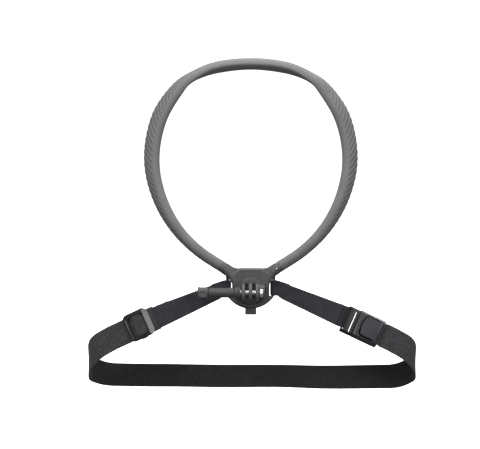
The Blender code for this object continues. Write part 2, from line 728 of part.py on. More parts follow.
def make_slider():
    """Two end bars in front of the strap, a middle bar behind it, rails beside it."""
    drop = (SLIDER_OUT - LEFT_KNEE[0]) * math.tan(RUN_SLOPE)
    place = run_matrix(-1, SLIDER_OUT, LEFT_KNEE[1] - drop)
    frame = empty_frame("slider_place", place)
    outline = rounded_rect(11.0 * MM, 12.4 * MM, 4.0 * MM)
    slider = plate("slider_frame", outline, -3.6 * MM, -0.95 * MM, black_plastic(), frame)
    round_edges(slider, 0.8 * MM, 2)
    for sign in (-1, 1):
        low = -12.4 if sign < 0 else 10.7
        rail = local_box("rail", place, (-7.0, -2.4, low), (7.0, 3.4, low + 1.7))
        join(slider, rail)
    window = plate("slider_window", rounded_rect(7.0 * MM, 10.3 * MM, 2.0 * MM), -8 * MM, 0.0, None, None, place)
    cut(slider, window)
    join(slider, local_box("middle_bar", place, (-1.9, 2.0, -11.6), (1.9, 3.4, 11.6)))
    loop = box("slider_loop", (-3.2 * MM, 0.95 * MM, -9.9 * MM), (3.2 * MM, 4.5 * MM, 9.9 * MM),
               webbing(), frame)
    round_edges(loop, 0.9 * MM, 2)
    cut(loop, local_box("loop_hole", place, (-2.25, 1.7, -20), (2.25, 3.7, 20)))


def make_buckle():
    """Male half on the right tab, female half on the strap, and its release tongue."""
    place = run_matrix(1, *RIGHT_KNEE)
    frame = empty_frame("buckle_place", place)
    male = box("buckle_male", (-4.4 * MM, -3.3 * MM, -12.0 * MM), (8.3 * MM, 1.6 * MM, 12.0 * MM),
               black_plastic(), frame)
    round_edges(male, 1.0 * MM, 2)
    cut(male, local_box("first_slot", place, (-6.5, -8, -10.3), (0.3, 8, 10.3)))
    cut(male, local_box("second_slot", place, (2.9, -8, -10.0), (4.9, 8, 10.0)))
    join(male, local_box("end_bar", place, (-4.0, -0.6, -11.2), (-1.6, 0.9, 11.2)))
    join(male, local_box("tongue", place, (7.0, -1.0, -3.6), (20.5, 0.9, 3.6)))
    join(male, local_box("catch", place, (15.0, -1.7, -3.6), (16.4, 0.0, 3.6)))
    for sign in (-1, 1):
        low = sign * 8.0 - 1.4
        join(male, local_box("guide", place, (7.0, -1.0, low), (17.5, 0.9, low + 2.8)))

    female = box("buckle_female", (8.7 * MM, -4.5 * MM, -12.3 * MM), (32.0 * MM, 3.5 * MM, 12.3 * MM),
                 black_plastic(), frame)
    round_edges(female, 1.4 * MM, 3)
    cut(female, local_box("channel", place, (0, -2.4, -10.7), (40, 1.6, 10.7)))
    cut(female, local_box("tongue_window", place, (12.4, -8, -9.3), (27.6, -1.0, 9.3)))
    hinge = empty_frame("tongue_hinge", place @ Matrix.Translation((27.0 * MM, -3.6 * MM, 0)))
    button = box("buckle_button", (-14.2 * MM, -1.2 * MM, -8.9 * MM), (0.25 * MM, 0.6 * MM, 8.9 * MM),
                 black_plastic(), hinge)
    round_edges(button, 0.5 * MM, 2)


def build():
    clear_scene()
    line = band_line()
    make_band(line)
    make_front_shell(line)
    make_rear_cover()
    make_chest_pad()
    make_insert()
    make_release_button()
    make_thumb_screw()
    make_elastic_strap()
    make_left_tab()
    make_right_tab()
    make_slider()
    make_buckle()


build()
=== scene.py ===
"""Looks of a hands-free camera neck mount: a ribbed silicone neck ring, a moulded chest plate
with a swivelling camera mount and thumb screw, and a webbing chest strap with its fittings.

+Z up, -Y to the front. Pieces are drawn in millimetres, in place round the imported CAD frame, and
from_bmesh brings them to the frame's metres. The camera, the lights and the blends are in metres.
"""

from math import acos, copysign, cos, degrees, exp, pi, radians, sin, sqrt, tan

import bmesh
import bpy
from mathutils import Matrix, Vector, noise


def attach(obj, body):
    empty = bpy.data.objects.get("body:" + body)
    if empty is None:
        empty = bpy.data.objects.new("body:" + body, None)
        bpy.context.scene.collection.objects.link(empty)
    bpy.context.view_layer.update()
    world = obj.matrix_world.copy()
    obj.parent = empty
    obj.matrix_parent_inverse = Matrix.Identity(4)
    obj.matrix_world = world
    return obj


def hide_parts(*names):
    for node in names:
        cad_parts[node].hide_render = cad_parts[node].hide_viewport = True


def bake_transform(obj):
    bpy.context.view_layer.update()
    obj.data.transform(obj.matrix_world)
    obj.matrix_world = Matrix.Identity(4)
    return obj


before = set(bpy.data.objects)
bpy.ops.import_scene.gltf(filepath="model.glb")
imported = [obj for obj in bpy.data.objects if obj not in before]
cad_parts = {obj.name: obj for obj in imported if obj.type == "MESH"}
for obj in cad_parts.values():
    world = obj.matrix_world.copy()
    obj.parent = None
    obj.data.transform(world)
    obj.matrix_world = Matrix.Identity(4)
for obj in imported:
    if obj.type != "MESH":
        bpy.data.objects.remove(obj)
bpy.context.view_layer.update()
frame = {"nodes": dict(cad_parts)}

# One millimetre in metres; the sizes below are in millimetres.
MM = 0.001
GAP = 0.3
FRONT = Vector((0, -1, 0))
IDENTITY = Matrix.Identity(4)

# Neck band: half of its centreline as out, up (mm) and the turn of its wide face (deg).
BAND_LINE = (
    (0, 5, -14),
    (31.4, 1.6, -14),
    (53.8, -7.8, 8),
    (66.2, -18.4, 38),
    (79.8, -38.5, 58),
    (86.9, -61.3, 58),
    (88.5, -84.5, 54),
    (84.3, -107.1, 46),
    (75.5, -128.2, 37),
    (62.4, -147.1, 28),
    (45.4, -163.1, 24),
    (24.4, -177, 24),
    (12, -185.2, 20),
)
BAND_SIDES = 56
BAND_STEPS = 34
DOME_HEIGHT = 6.2
NECK_DEPTH = 2.8
DOME_WIDE = 7.9
RIB_PITCH = 5.4
RIB_SLANT = 1.15
RIB_DEPTH = 0.5

# Chest plate and camera mount.
DISC_Z = -197
PLATE_TOP = -177.3
BODY_RADIUS = 15.6
BODY_FRONT = -8
SHELL_BACK = 0
CAVITY_RADIUS = 13.9
CAVITY_FRONT = -6.4
DISC_RADIUS = 12.5
DISC_FRONT = -8.2
SKIRT_RADIUS = 13.6
COVER_FRONT = 0.3
COVER_BACK = 4.3
FLANGE_RADIUS = 25.1
FLANGE_CENTRE_Z = -190.1
BAR_OUT = 22.8
SLOT_IN = 16.9
SLOT_OUT = 19.6
SLOT_HALF = 7.9
SLOT_Z = -196
PAD_BACK = 7.1
REAR_SCREW = (10.4, -184)
PIN = (23, -177.2)
FINGER_PITCH = 6.2
FINGER_THICK = 3
FINGER_MIDDLE = -0.5
SCREW_Y = -18.5
SCREW_CENTRE = Vector((0, SCREW_Y, DISC_Z))
THREAD_RADIUS = 2.35
THREAD_PITCH = 0.8
BORE_RADIUS = 2.65
COLLAR = 5.3
GRIP_RADIUS = 4.35
NUT_FLATS = 8
NUT_LEFT = 7.9
NUT_RIGHT = 10.7

# Straps.
WEB_WIDTH = 22.2
WEB_THICK = 1.2
TAB_THICK = 1
TAB_SLOPE = radians(23)
RUN_SLOPE = radians(25.4)
RUN_LEAN = radians(14)
LEFT_KNEE = (80.1, -220.3)
RIGHT_KNEE = (89.2, -224.4)
SLIDER_OUT = 101.2
RIGHT_EXTRA = 3.1
STRAP_BACK = 39
TURN = (
    (125, 0, -241.5, 25.4, 14),
    (136.9, 1.2, -248.4, 25, 15),
    (142.9, 3.2, -253.6, 21, 17),
    (146.6, 6.8, -259, 15, 19),
    (149, 11.8, -264.9, 7, 22),
    (149.9, 17.6, -270.6, -1, 22),
    (148.9, 23.6, -275.9, -8, 19),
    (144.2, 29.4, -280.6, -11, 12),
    (135.2, 34, -284.8, -9, 6),
    (119.7, 36.7, -286.4, -4, 2),
    (60, 38.4, -287.5, 0, 0),
)


# ---- materials


def add(tree, kind, **settings):
    made = tree.nodes.new("ShaderNode" + kind)
    for key, value in settings.items():
        setattr(made, key, value)
    return made


def put(node, **values):
    """Sets a node's inputs, with _ for a space in their names."""
    for key, value in values.items():
        node.inputs[key.replace("_", " ")].default_value = value


def new_material(name, roughness, metallic=0, specular=0.5):
    """A material with a Principled shader; returns it with its tree and shader."""
    made = bpy.data.materials.new(name)
    made.use_nodes = True
    shader = made.node_tree.nodes["Principled BSDF"]
    put(shader, Roughness=roughness, Metallic=metallic, Specular_IOR_Level=specular)
    return made, made.node_tree, shader


def paint(tree, shader, colour, roughness=None):
    """Feeds the colour, and the roughness where it varies, into the shader."""
    tree.links.new(colour, shader.inputs["Base Color"])
    if roughness:
        tree.links.new(roughness, shader.inputs["Roughness"])


def object_place(tree, stretch=(1, 1, 1)):
    place = add(tree, "TexCoord").outputs["Object"]
    if stretch == (1, 1, 1):
        return place
    mapping = add(tree, "Mapping")
    put(mapping, Scale=stretch)
    tree.links.new(place, mapping.inputs["Vector"])
    return mapping.outputs["Vector"]


def noise_of(tree, scale, detail=3, place=None, rough=0.55):
    made = add(tree, "TexNoise")
    put(made, Scale=scale, Detail=detail, Roughness=rough)
    tree.links.new(place or object_place(tree), made.inputs["Vector"])
    return made.outputs["Fac"]


def math_of(tree, operation, a, b=0):
    made = add(tree, "Math", operation=operation)
    for slot, value in zip(made.inputs, (a, b)):
        if isinstance(value, (int, float)):
            slot.default_value = value
        else:
            tree.links.new(value, slot)
    return made.outputs[0]


def times(tree, value, factor):
    return math_of(tree, "MULTIPLY", value, factor)


def spread(tree, value, low, high, out_low, out_high):
    """Maps a value's range to another, clamped."""
    made = add(tree, "MapRange")
    tree.links.new(value, made.inputs["Value"])
    put(made, From_Min=low, From_Max=high, To_Min=out_low, To_Max=out_high)
    return made.outputs["Result"]


def mixed(tree, share, first, second):
    """A colour between two by a share; the first may be another node's output."""
    made = add(tree, "Mix", data_type="RGBA")
    tree.links.new(share, made.inputs["Factor"])
    if isinstance(first, tuple):
        put(made, A=(*first, 1))
    else:
        tree.links.new(first, made.inputs["A"])
    put(made, B=(*second, 1))
    return made.outputs["Result"]


def grey(value):
    return (value, value, value)


def bumped(tree, shader, height, distance, before=None):
    made = add(tree, "Bump")
    put(made, Distance=distance, Strength=1)
    tree.links.new(height, made.inputs["Height"])
    if before:
        tree.links.new(before, made.inputs["Normal"])
    tree.links.new(made.outputs["Normal"], shader.inputs["Normal"])
    return made.outputs["Normal"]


def attribute(tree, name):
    return add(tree, "Attribute", attribute_name=name).outputs["Fac"]


def make_silicone():
    """Matte grey silicone: faint mottling, painted shade in the rib grooves and a fine skin."""
    made, tree, shader = new_material("grey_silicone_look", 0.6, specular=0.35)
    patches = noise_of(tree, 55, 4)
    colour = mixed(tree, spread(tree, patches, 0.35, 0.65, 0, 1), grey(0.205), grey(0.230))
    specks = spread(tree, noise_of(tree, 900, 2), 0.60, 0.72, 0, 0.25)
    colour = mixed(tree, specks, colour, grey(0.15))
    # Painted shade: the colour is darkened in the rib grooves by their depth.
    groove = times(tree, attribute(tree, "groove"), 0.75)
    colour = mixed(tree, groove, colour, grey(0.080))
    paint(tree, shader, colour, spread(tree, patches, 0.3, 0.7, 0.52, 0.68))
    fine = bumped(tree, shader, noise_of(tree, 2600, 2), 0.03 * MM)
    bumped(tree, shader, noise_of(tree, 240, 3), 0.10 * MM, fine)
    return made


def make_moulded(name, dark, light, roughness, grain=0.035, specular=0.4):
    """Moulded plastic: spark-eroded grain, faint flow marks and scuffs that catch light."""
    made, tree, shader = new_material(name, roughness, specular=specular)
    flow = noise_of(tree, 45, 3, object_place(tree, (1, 1, 2.2)))
    colour = mixed(tree, spread(tree, flow, 0.3, 0.7, 0, 1), dark, light)
    scuff = noise_of(tree, 260, 5, object_place(tree, (1, 1, 5)), 0.7)
    worn = spread(tree, scuff, 0.63, 0.80, 0, 0.30)
    colour = mixed(tree, worn, colour, tuple(min(1, v * 2.2 + 0.01) for v in light))
    paint(tree, shader, colour, spread(tree, scuff, 0.4, 0.75, roughness - 0.04, roughness + 0.10))
    fine = bumped(tree, shader, noise_of(tree, 3600, 2), grain * MM)
    bumped(tree, shader, flow, 0.08 * MM, fine)
    return made


def make_steel(name="bright_steel_look", colour=(0.88, 0.88, 0.87), roughness=0.22):
    """Turned steel: fine tool marks along X and small stains."""
    made, tree, shader = new_material(name, roughness, metallic=1)
    marks = noise_of(tree, 900, 3, object_place(tree, (9, 1, 1)))
    stain = noise_of(tree, 180, 3)
    dull = tuple(v * 0.72 for v in colour)
    tone = mixed(tree, spread(tree, stain, 0.45, 0.8, 0, 1), colour, dull)
    paint(tree, shader, tone, spread(tree, marks, 0.3, 0.7, roughness - 0.06, roughness + 0.12))
    bumped(tree, shader, marks, 0.012 * MM)
    return made


def make_woven(name, dark, light, warp, weft, depth, fuzz, flecks):
    """Woven webbing: yarns along and across it, read from the strap's own length and width."""
    made, tree, shader = new_material(name, 0.82, specular=0.22)
    put(shader, Sheen_Weight=fuzz, Sheen_Roughness=0.5)
    along = attribute(tree, "run_mm")
    across_it = attribute(tree, "width_mm")
    ends = math_of(tree, "SINE", times(tree, across_it, 2 * pi / warp))
    shift = times(tree, math_of(tree, "SIGN", ends), pi / 2)
    picks = math_of(tree, "SINE", math_of(tree, "ADD", times(tree, along, 2 * pi / weft), shift))
    under = times(tree, math_of(tree, "ABSOLUTE", ends), 0.5)
    weave = math_of(tree, "ADD", times(tree, picks, 0.5), under)
    mottle = spread(tree, noise_of(tree, 130, 4), 0.3, 0.7, 0, 0.45)
    share = math_of(tree, "ADD", spread(tree, weave, -0.5, 1, 0, 0.55), mottle)
    colour = mixed(tree, share, dark, light)
    lint = spread(tree, noise_of(tree, 1500, 2), 0.70, 0.78, 0, 0.5)
    colour = mixed(tree, lint, colour, tuple(min(1, v * 3 + 0.02) for v in light))
    heather = spread(tree, noise_of(tree, 620, 3, None, 0.7), 0.50, 0.70, 0, flecks)
    colour = mixed(tree, heather, colour, tuple(v * 1.9 for v in light))
    # Darker where the strap asks: painted shade in the tabs' seam channels and stitch rows; the elastic's
    # face towards the wearer and the right tab's end by the buckle are darker too.
    darkening = times(tree, attribute(tree, "darkening"), 0.62)
    colour = mixed(tree, darkening, colour, tuple(v * 0.35 for v in dark))
    paint(tree, shader, colour, spread(tree, weave, -0.5, 1, 0.9, 0.72))
    yarn = bumped(tree, shader, weave, depth * MM)
    bumped(tree, shader, noise_of(tree, 5200, 2), 0.03 * MM, yarn)
    return made


def make_thread():
    """Stitching thread with the twist of its plies."""
    made, tree, shader = new_material("thread_look", 0.7, specular=0.3)
    twist = noise_of(tree, 2400, 2, object_place(tree, (1, 1, 3)))
    paint(tree, shader, mixed(tree, twist, (0.060, 0.060, 0.066), (0.130, 0.130, 0.140)))
    bumped(tree, shader, twist, 0.05 * MM)
    return made


def make_foam():
    """Soft closed-cell pad with small pits."""
    made, tree, shader = new_material("pad_foam_look", 0.9, specular=0.2)
    cells = add(tree, "TexVoronoi")
    put(cells, Scale=1500)
    tree.links.new(object_place(tree), cells.inputs["Vector"])
    pits = spread(tree, cells.outputs["Distance"], 0.1, 0.6, 0, 1)
    paint(tree, shader, mixed(tree, pits, (0.012, 0.012, 0.013), (0.034, 0.034, 0.036)))
    bumped(tree, shader, pits, 0.10 * MM)
    return made


SILICONE = make_silicone()
SHELL = make_moulded("shell_plastic_look", grey(0.082), grey(0.100), 0.46)
BLACK = make_moulded("black_plastic_look", (0.007, 0.007, 0.0085), (0.011, 0.011, 0.013), 0.33, 0.02, 0.55)
GLOSS = make_moulded("glossy_black_plastic_look", (0.009, 0.009, 0.0105), (0.014, 0.014, 0.016),
                     0.21, 0.006, 1)
BUTTON = make_moulded("blue_black_plastic_look", (0.015, 0.015, 0.021), (0.021, 0.021, 0.029),
                      0.36, 0.02, 0.45)
GRIP = make_moulded("grip_plastic_look", (0.053, 0.053, 0.055), (0.066, 0.066, 0.068), 0.5)
STEEL = make_steel()
WIRE = make_steel("aluminium_look", grey(0.62), 0.38)
BLACK_STEEL = make_steel("blackened_steel_look", (0.03, 0.03, 0.033), 0.55)
WEBBING = make_woven("elastic_webbing_look", (0.022, 0.022, 0.024), (0.060, 0.058, 0.063),
                     1.3, 1.5, 0.12, 0.15, 0.6)
TAB_CLOTH = make_woven("tab_fabric_look", (0.019, 0.019, 0.024), (0.046, 0.046, 0.057),
                       0.9, 0.9, 0.07, 0.1, 0.2)
THREAD = make_thread()
FOAM = make_foam()


# ---- mesh tools


def at(spot):
    return Matrix.Translation(spot)


def spun(turn, axis):
    """A turn in degrees about an axis."""
    return Matrix.Rotation(radians(turn), 4, axis)


def from_bmesh(bm, unit=MM):
    """A linked object from a mesh drawn in millimetres, facing outwards."""
    bmesh.ops.recalc_face_normals(bm, faces=bm.faces)
    if bm.calc_volume(signed=True) < 0:
        bmesh.ops.reverse_faces(bm, faces=bm.faces)
    bm.transform(Matrix.Scale(unit, 4))
    mesh = bpy.data.meshes.new("piece")
    bm.to_mesh(mesh)
    bm.free()
    obj = bpy.data.objects.new("piece", mesh)
    bpy.context.scene.collection.objects.link(obj)
    return obj


def applied(obj):
    """Makes what the modifiers show into the object's own mesh."""
    bpy.context.view_layer.update()
    seen = obj.evaluated_get(bpy.context.evaluated_depsgraph_get())
    mesh = bpy.data.meshes.new_from_object(seen)
    old = obj.data
    obj.modifiers.clear()
    obj.data = mesh
    bpy.data.meshes.remove(old)
    return obj


def carved(obj, operation, *tools):
    for tool in tools:
        step = obj.modifiers.new("carve", "BOOLEAN")
        step.operation = operation
        step.object = tool
        step.solver = "MANIFOLD"
    applied(obj)
    for tool in tools:
        bpy.data.objects.remove(tool)
    return obj


def cut(obj, *tools):
    return carved(obj, "DIFFERENCE", *tools)


def join(obj, *tools):
    return carved(obj, "UNION", *tools)


def finished(obj, name, mat, body, nodes=(), angle=32):
    """Names, paints and shades a piece, gives it its body and hides the CAD nodes it stands in for."""
    obj.name = name
    obj.data.name = name
    obj.data.materials.clear()
    obj.data.materials.append(mat)
    obj.data.shade_smooth()
    obj.data.set_sharp_from_angle(angle=radians(angle))
    if body:
        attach(obj, body)
    if nodes:
        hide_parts(*nodes)


def placed(bm, place, edges, radius, segments):
    """Rounds a solid's edges, if asked, and makes an object of it at its place."""
    if radius:
        bmesh.ops.bevel(bm, geom=edges, offset=radius, segments=segments, profile=0.5, affect="EDGES")
    bm.transform(place)
    return from_bmesh(bm)


def block(low, high, radius=0, segments=3, place=IDENTITY):
    """A block between two corners with rounded edges."""
    bm = bmesh.new()
    size = Vector(high) - Vector(low)
    middle = at((Vector(low) + Vector(high)) / 2)
    bmesh.ops.create_cube(bm, size=1, matrix=middle @ Matrix.Diagonal((*size, 1)))
    return placed(bm, place, list(bm.edges), radius, segments)


def blocks_at(place):
    """A block maker that works in a part's own place."""
    return lambda low, high, radius=0: block(low, high, radius, 3, place)


def lofted(sections):
    """A closed mesh over a row of sections with the same number of points."""
    bm = bmesh.new()
    rings = [[bm.verts.new(point) for point in section] for section in sections]
    for near, far in zip(rings, rings[1:]):
        for i in range(len(near)):
            bm.faces.new((near[i - 1], near[i], far[i], far[i - 1]))
    bm.faces.new(rings[0])
    bm.faces.new(reversed(rings[-1]))
    return bm


def prism(outline, front, back, radius=0, segments=3, place=IDENTITY):
    """An outline in X and Z, as deep as front to back along Y, with rounded rims."""
    bm = lofted([[(x, y, z) for x, z in outline] for y in (front, back)])
    bmesh.ops.recalc_face_normals(bm, faces=bm.faces)
    rims = [edge for edge in bm.edges if edge.verts[0].co.y == edge.verts[1].co.y]
    return placed(bm, place, rims, radius, segments)


def circle(steps):
    """The cosine and sine at even steps of a full turn."""
    return [(cos(2 * pi * k / steps), sin(2 * pi * k / steps)) for k in range(steps)]


def lathe(profile, place=IDENTITY, steps=72):
    """A body turned about X; the profile is (along X, radius), closed by itself."""
    bm = bmesh.new()
    rings = [[bm.verts.new((x, radius * c, radius * s)) for x, radius in profile] for c, s in circle(steps)]
    for i in range(steps):
        near = rings[i - 1]
        far = rings[i]
        for corners in zip(near, near[1:], far[1:], far):
            bm.faces.new(corners)
    bmesh.ops.remove_doubles(bm, verts=bm.verts, dist=0.002)
    bmesh.ops.dissolve_degenerate(bm, edges=bm.edges, dist=0.001)
    bm.transform(place)
    return from_bmesh(bm)


def cylinder(start, end, radius, steps=64):
    """A rod between two points."""
    axis = Vector(end) - Vector(start)
    turn = axis.to_track_quat("X", "Z").to_matrix().to_4x4()
    profile = [(0, 0), (0, radius), (axis.length, radius), (axis.length, 0)]
    return lathe(profile, at(start) @ turn, steps)


def skin(sections):
    return from_bmesh(lofted(sections))


def tangent(points, i):
    """The direction of a line at one of its points."""
    return (points[min(i + 1, len(points) - 1)] - points[max(i - 1, 0)]).normalized()


def pipe(points, radii, sides, deep=None):
    """A tube along points with a radius at each; deep sets its own half depth along Y."""
    sections = []
    side = tangent(points, 0).orthogonal()
    for i, point in enumerate(points):
        along = tangent(points, i)
        side = (side - along * side.dot(along)).normalized()
        other = along.cross(side)
        ring = []
        for c, s in circle(sides):
            offset = (side * c + other * s) * radii[i]
            if deep:
                offset.y *= deep / radii[i]
            ring.append(point + offset)
        sections.append(ring)
    return skin(sections)


def arc(centre, radius, start, end, steps):
    points = []
    for step in range(steps + 1):
        angle = radians(start + (end - start) * step / steps)
        points.append((centre[0] + radius * cos(angle), centre[1] + radius * sin(angle)))
    return points


def mirrored(points):
    """The points on the other side of X = 0, in reverse."""
    return [(-x, z) for x, z in reversed(points)]


def rounded_rect(half_x, half_z, radius, steps=8):
    points = []
    for sign_x, sign_z, start in ((1, 1, 0), (-1, 1, 90), (-1, -1, 180), (1, -1, 270)):
        centre = (sign_x * (half_x - radius), sign_z * (half_z - radius))
        points += arc(centre, radius, start, start + 90, steps)
    return points


def between(p, q, r, s, t):
    """A Catmull-Rom value between the second and third of four."""
    curve = (2 * p - 5 * q + 4 * r - s) * t ** 2 + (3 * q - p - 3 * r + s) * t ** 3
    return 0.5 * (2 * q + (r - p) * t + curve)


def smooth(stations, steps):
    """A smooth line through rows of numbers."""
    rows = [stations[0], *stations, stations[-1]]
    line = []
    for four in zip(rows, rows[1:], rows[2:], rows[3:]):
        for step in range(steps):
            line.append(tuple(between(*values, step / steps) for values in zip(*four)))
    line.append(tuple(stations[-1]))
    return line


def lengths_along(points):
    """How far along a line each of its points lies."""
    lengths = [0]
    for a, b in zip(points, points[1:]):
        lengths.append(lengths[-1] + (b - a).length)
    return lengths


def ease(value, low, high):
    """0 before low, 1 after high and a smooth step between."""
    t = min(max((value - low) / (high - low), 0), 1)
    return t * t * (3 - 2 * t)


def remeshed(obj, voxel, rounds):
    """Melts overlapping solids into one skin and softens its edges."""
    step = obj.modifiers.new("melt", "REMESH")
    step.mode = "VOXEL"
    step.voxel_size = voxel * MM
    soften = obj.modifiers.new("soften", "SMOOTH")
    soften.factor = 0.5
    soften.iterations = rounds
    return applied(obj)


def gathered(*objects):
    """Several objects' meshes in one, without a boolean."""
    bm = bmesh.new()
    for obj in objects:
        bm.from_mesh(obj.data)
        bpy.data.objects.remove(obj)
    return from_bmesh(bm, 1)


# ---- neck ring


def band_line(steps):
    other = [(-out, up, turn) for out, up, turn in BAND_LINE]
    return smooth([*reversed(BAND_LINE[1:]), *other], steps)


def band_axes(line, i):
    """Centre, wide and face directions at one place of the centreline."""
    out, up, turn = line[i]
    along = tangent([Vector((row[0], 0, row[1])) for row in line[max(i - 1, 0):i + 2]], min(i, 1))
    outward = Vector((along.z, 0, -along.x))
    angle = radians(turn)
    face = outward * cos(angle) + FRONT * sin(angle)
    wide = FRONT * cos(angle) - outward * sin(angle)
    return Vector((out, 0, up)), wide, face


def section_point(t, turn, grow):
    """A point of the band's section: a domed outer side over a flat neck side."""
    power = 2 / (2.2 if sin(t) > 0 else 2.7)
    c = cos(t)
    s = sin(t)
    wide = copysign(abs(c) ** power, c) * (DOME_WIDE + grow)
    height = copysign(abs(s) ** power, s) * ((DOME_HEIGHT if s > 0 else NECK_DEPTH) + grow)
    seat = -0.75 - 0.8 * (58 - turn) / 72
    return wide, height + seat


def rib_weight(reach, t):
    """How strong the ribs are at a distance from the nape and a place on the section."""
    sides = ease(reach, 52, 82) * (1 - ease(reach, 185, 255))
    crown = 0.45 * (1 - ease(reach, 60, 90))
    spot = degrees(t) % 360
    belly = ease(spot, 44, 76) * (1 - ease(spot, 205, 240))
    top = ease(spot, 45, 75) * (1 - ease(spot, 150, 190))
    return max(sides * belly, crown * top)


def band_skin(line, places, reaches, grow, ribbed):
    """Sections of the band's skin, and how deep each point lies in a groove."""
    sections = []
    grooves = []
    for i in places:
        centre, wide, face = band_axes(line, i)
        reach = reaches[i]
        ring = []
        for side in range(BAND_SIDES):
            t = 2 * pi * side / BAND_SIDES
            w, f = section_point(t, line[i][2], grow)
            point = centre + wide * w + face * f
            depth = 0
            if ribbed:
                phase = (abs(reach) - RIB_SLANT * w) / RIB_PITCH
                wave = 0.5 - 0.5 * cos(2 * pi * phase)
                depth = rib_weight(abs(reach), t) * wave ** 2.2
                point -= (wide * w + face * f).normalized() * depth * RIB_DEPTH
            ring.append(point)
            grooves.append(depth)
        sections.append(ring)
    return sections, grooves


def line_reaches(line):
    """Signed distance of each place from the nape, along the centreline."""
    lengths = lengths_along([Vector(row[:2]) for row in line])
    middle = lengths[len(lengths) // 2]
    return [value - middle for value in lengths]


def make_neck_ring():
    line = band_line(BAND_STEPS)
    reaches = line_reaches(line)
    places = range(BAND_STEPS, len(line) - BAND_STEPS)
    sections, grooves = band_skin(line, places, reaches, 0, True)
    # Small rounded rims at both ends.
    for rim in (0, -1):
        centre = sum(sections[rim], Vector()) / BAND_SIDES
        sections[rim] = [centre + (point - centre) * 0.985 for point in sections[rim]]
    sleeve = skin(sections)
    mark(sleeve, "groove", grooves)
    finished(sleeve, "neck_sleeve_skin", SILICONE, "root", ["neck_sleeve"], 60)


# ---- chest plate


def body_outline():
    side = [(-9.8, PLATE_TOP), (-17, -181.6), (-16, -190)]
    bottom = arc((0, DISC_Z), BODY_RADIUS, 180, 360, 48)
    return side + bottom + mirrored(side)


def cover_outline(grow=0):
    """The rear cover's rim: shoulders tucked behind the arms and a round lower flange."""
    edge = BAR_OUT + grow
    side = [(-9 - grow, -178.4 + grow), (-14 - grow, -180 + grow), (-20, -179.4 + grow),
            (-24.6 - grow, -179.6 + grow), (-23.6 - grow, -181.6), (-22.7 - grow, -184.2),
            (-22.4 - grow, -187.2), (-edge, -190.4)]
    radius = FLANGE_RADIUS + grow
    start = 180 + degrees(acos(edge / radius))
    bottom = arc((0, FLANGE_CENTRE_Z), radius, start, 540 - start, 60)
    return side + bottom + mirrored(side)


def ridge(sign):
    """The raised rim that runs on from an arm and round the disc to the bottom."""
    route = [(27.5, -174.7, 4.3), (22, -178.6, 4.2), (17.8, -183.4, 3.5), (15, -189.2, 2.6), (13.9, -197, 2)]
    rows = smooth(route, 6)
    rows += [(x, z, 2) for x, z in arc((0, DISC_Z), 13.9, 352, 268, 20)]
    points = [Vector((sign * x, -4.6, z)) for x, z, half in rows]
    return pipe(points, [half for x, z, half in rows], 20, 4.5)


def web_outline():
    """The thin wall between the arms, with its top edge swept up into them."""
    sweep = smooth([(27, -170.2), (21.5, -173.2), (17, -175.7), (13, -176.9), (9.5, PLATE_TOP)], 6)
    left = [(-12, -186), (-19, -182), (-27, -176.5)] + [(-x, z) for x, z in sweep]
    return left + mirrored(left)


def make_shell():
    line = band_line(12)
    reaches = line_reaches(line)
    count = len(line)
    pieces = [prism(body_outline(), BODY_FRONT, 1.2, 1.3, 4),
              prism(web_outline(), BODY_FRONT + 1, -2.5, 0.9, 3)]
    for places in (range(13), range(count - 13, count)):
        sections = band_skin(line, places, reaches, 0.15, False)[0]
        if places[0] == 0:
            sections.reverse()
        # The open end stays a little short of the sleeve.
        pull = (sections[1][0] - sections[0][0]).normalized() * GAP
        sections[0] = [point + pull for point in sections[0]]
        pieces.append(skin(sections))
    pieces += [ridge(-1), ridge(1)]
    shell = remeshed(gathered(*pieces), 0.32, 5)
    bore = cylinder((0, -20, DISC_Z), (0, 0, DISC_Z), DISC_RADIUS + GAP, steps=96)
    cavity = cylinder((0, CAVITY_FRONT, DISC_Z), (0, 4, DISC_Z), CAVITY_RADIUS, steps=96)
    rear = prism(cover_outline(0.3), SHELL_BACK, 12)
    tab_slot = block((-5.4, -4.9, DISC_Z - 18), (5.4, 1, DISC_Z - 12), 0.3)
    panel = prism(((-8.9, -178.6), (-7.3, -190), (7.3, -190), (8.9, -178.6)), -14, BODY_FRONT + 0.35, 0.3)
    pin_hole = cylinder((PIN[0], -14, PIN[1]), (PIN[0], -5.6, PIN[1]), 1.25, steps=40)
    mouth = lathe([(0, 0), (0, 12.85), (3, 15), (3, 0)], at((0, -8, DISC_Z)) @ spun(-90, "Z"), 96)
    cut(shell, bore, cavity, rear, tab_slot, panel, pin_hole, mouth)
    finished(shell, "front_shell_skin", SHELL, "root", ["front_shell"])


def make_rear_cover():
    cover = prism(cover_outline(), COVER_FRONT, COVER_BACK, 0.9, 4)
    tools = []
    for sign in (-1, 1):
        centre = sign * (SLOT_IN + SLOT_OUT) / 2
        slot = [(x + centre, z + SLOT_Z) for x, z in rounded_rect((SLOT_OUT - SLOT_IN) / 2, SLOT_HALF, 1.25)]
        tools.append(prism(slot, -2, 8))
        x = sign * REAR_SCREW[0]
        z = REAR_SCREW[1]
        tools.append(cylinder((x, -2, z), (x, 8, z), 1.1, steps=32))
        tools.append(cylinder((x, 2.6, z), (x, 8, z), 2.2, steps=40))
    for sign in (-1, 1):
        tools.append(block((sign * 20.3 - 0.3, COVER_BACK - 0.3, -203), (sign * 20.3 + 0.3, 8, -189), 0.1))
    cut(cover, *tools)
    join(cover, block((-4.5, -3, DISC_Z - 0.3), (4.5, 0.6, DISC_Z + 1.9), 0.3))
    finished(cover, "rear_cover_skin", SHELL, "root", ["rear_cover"])


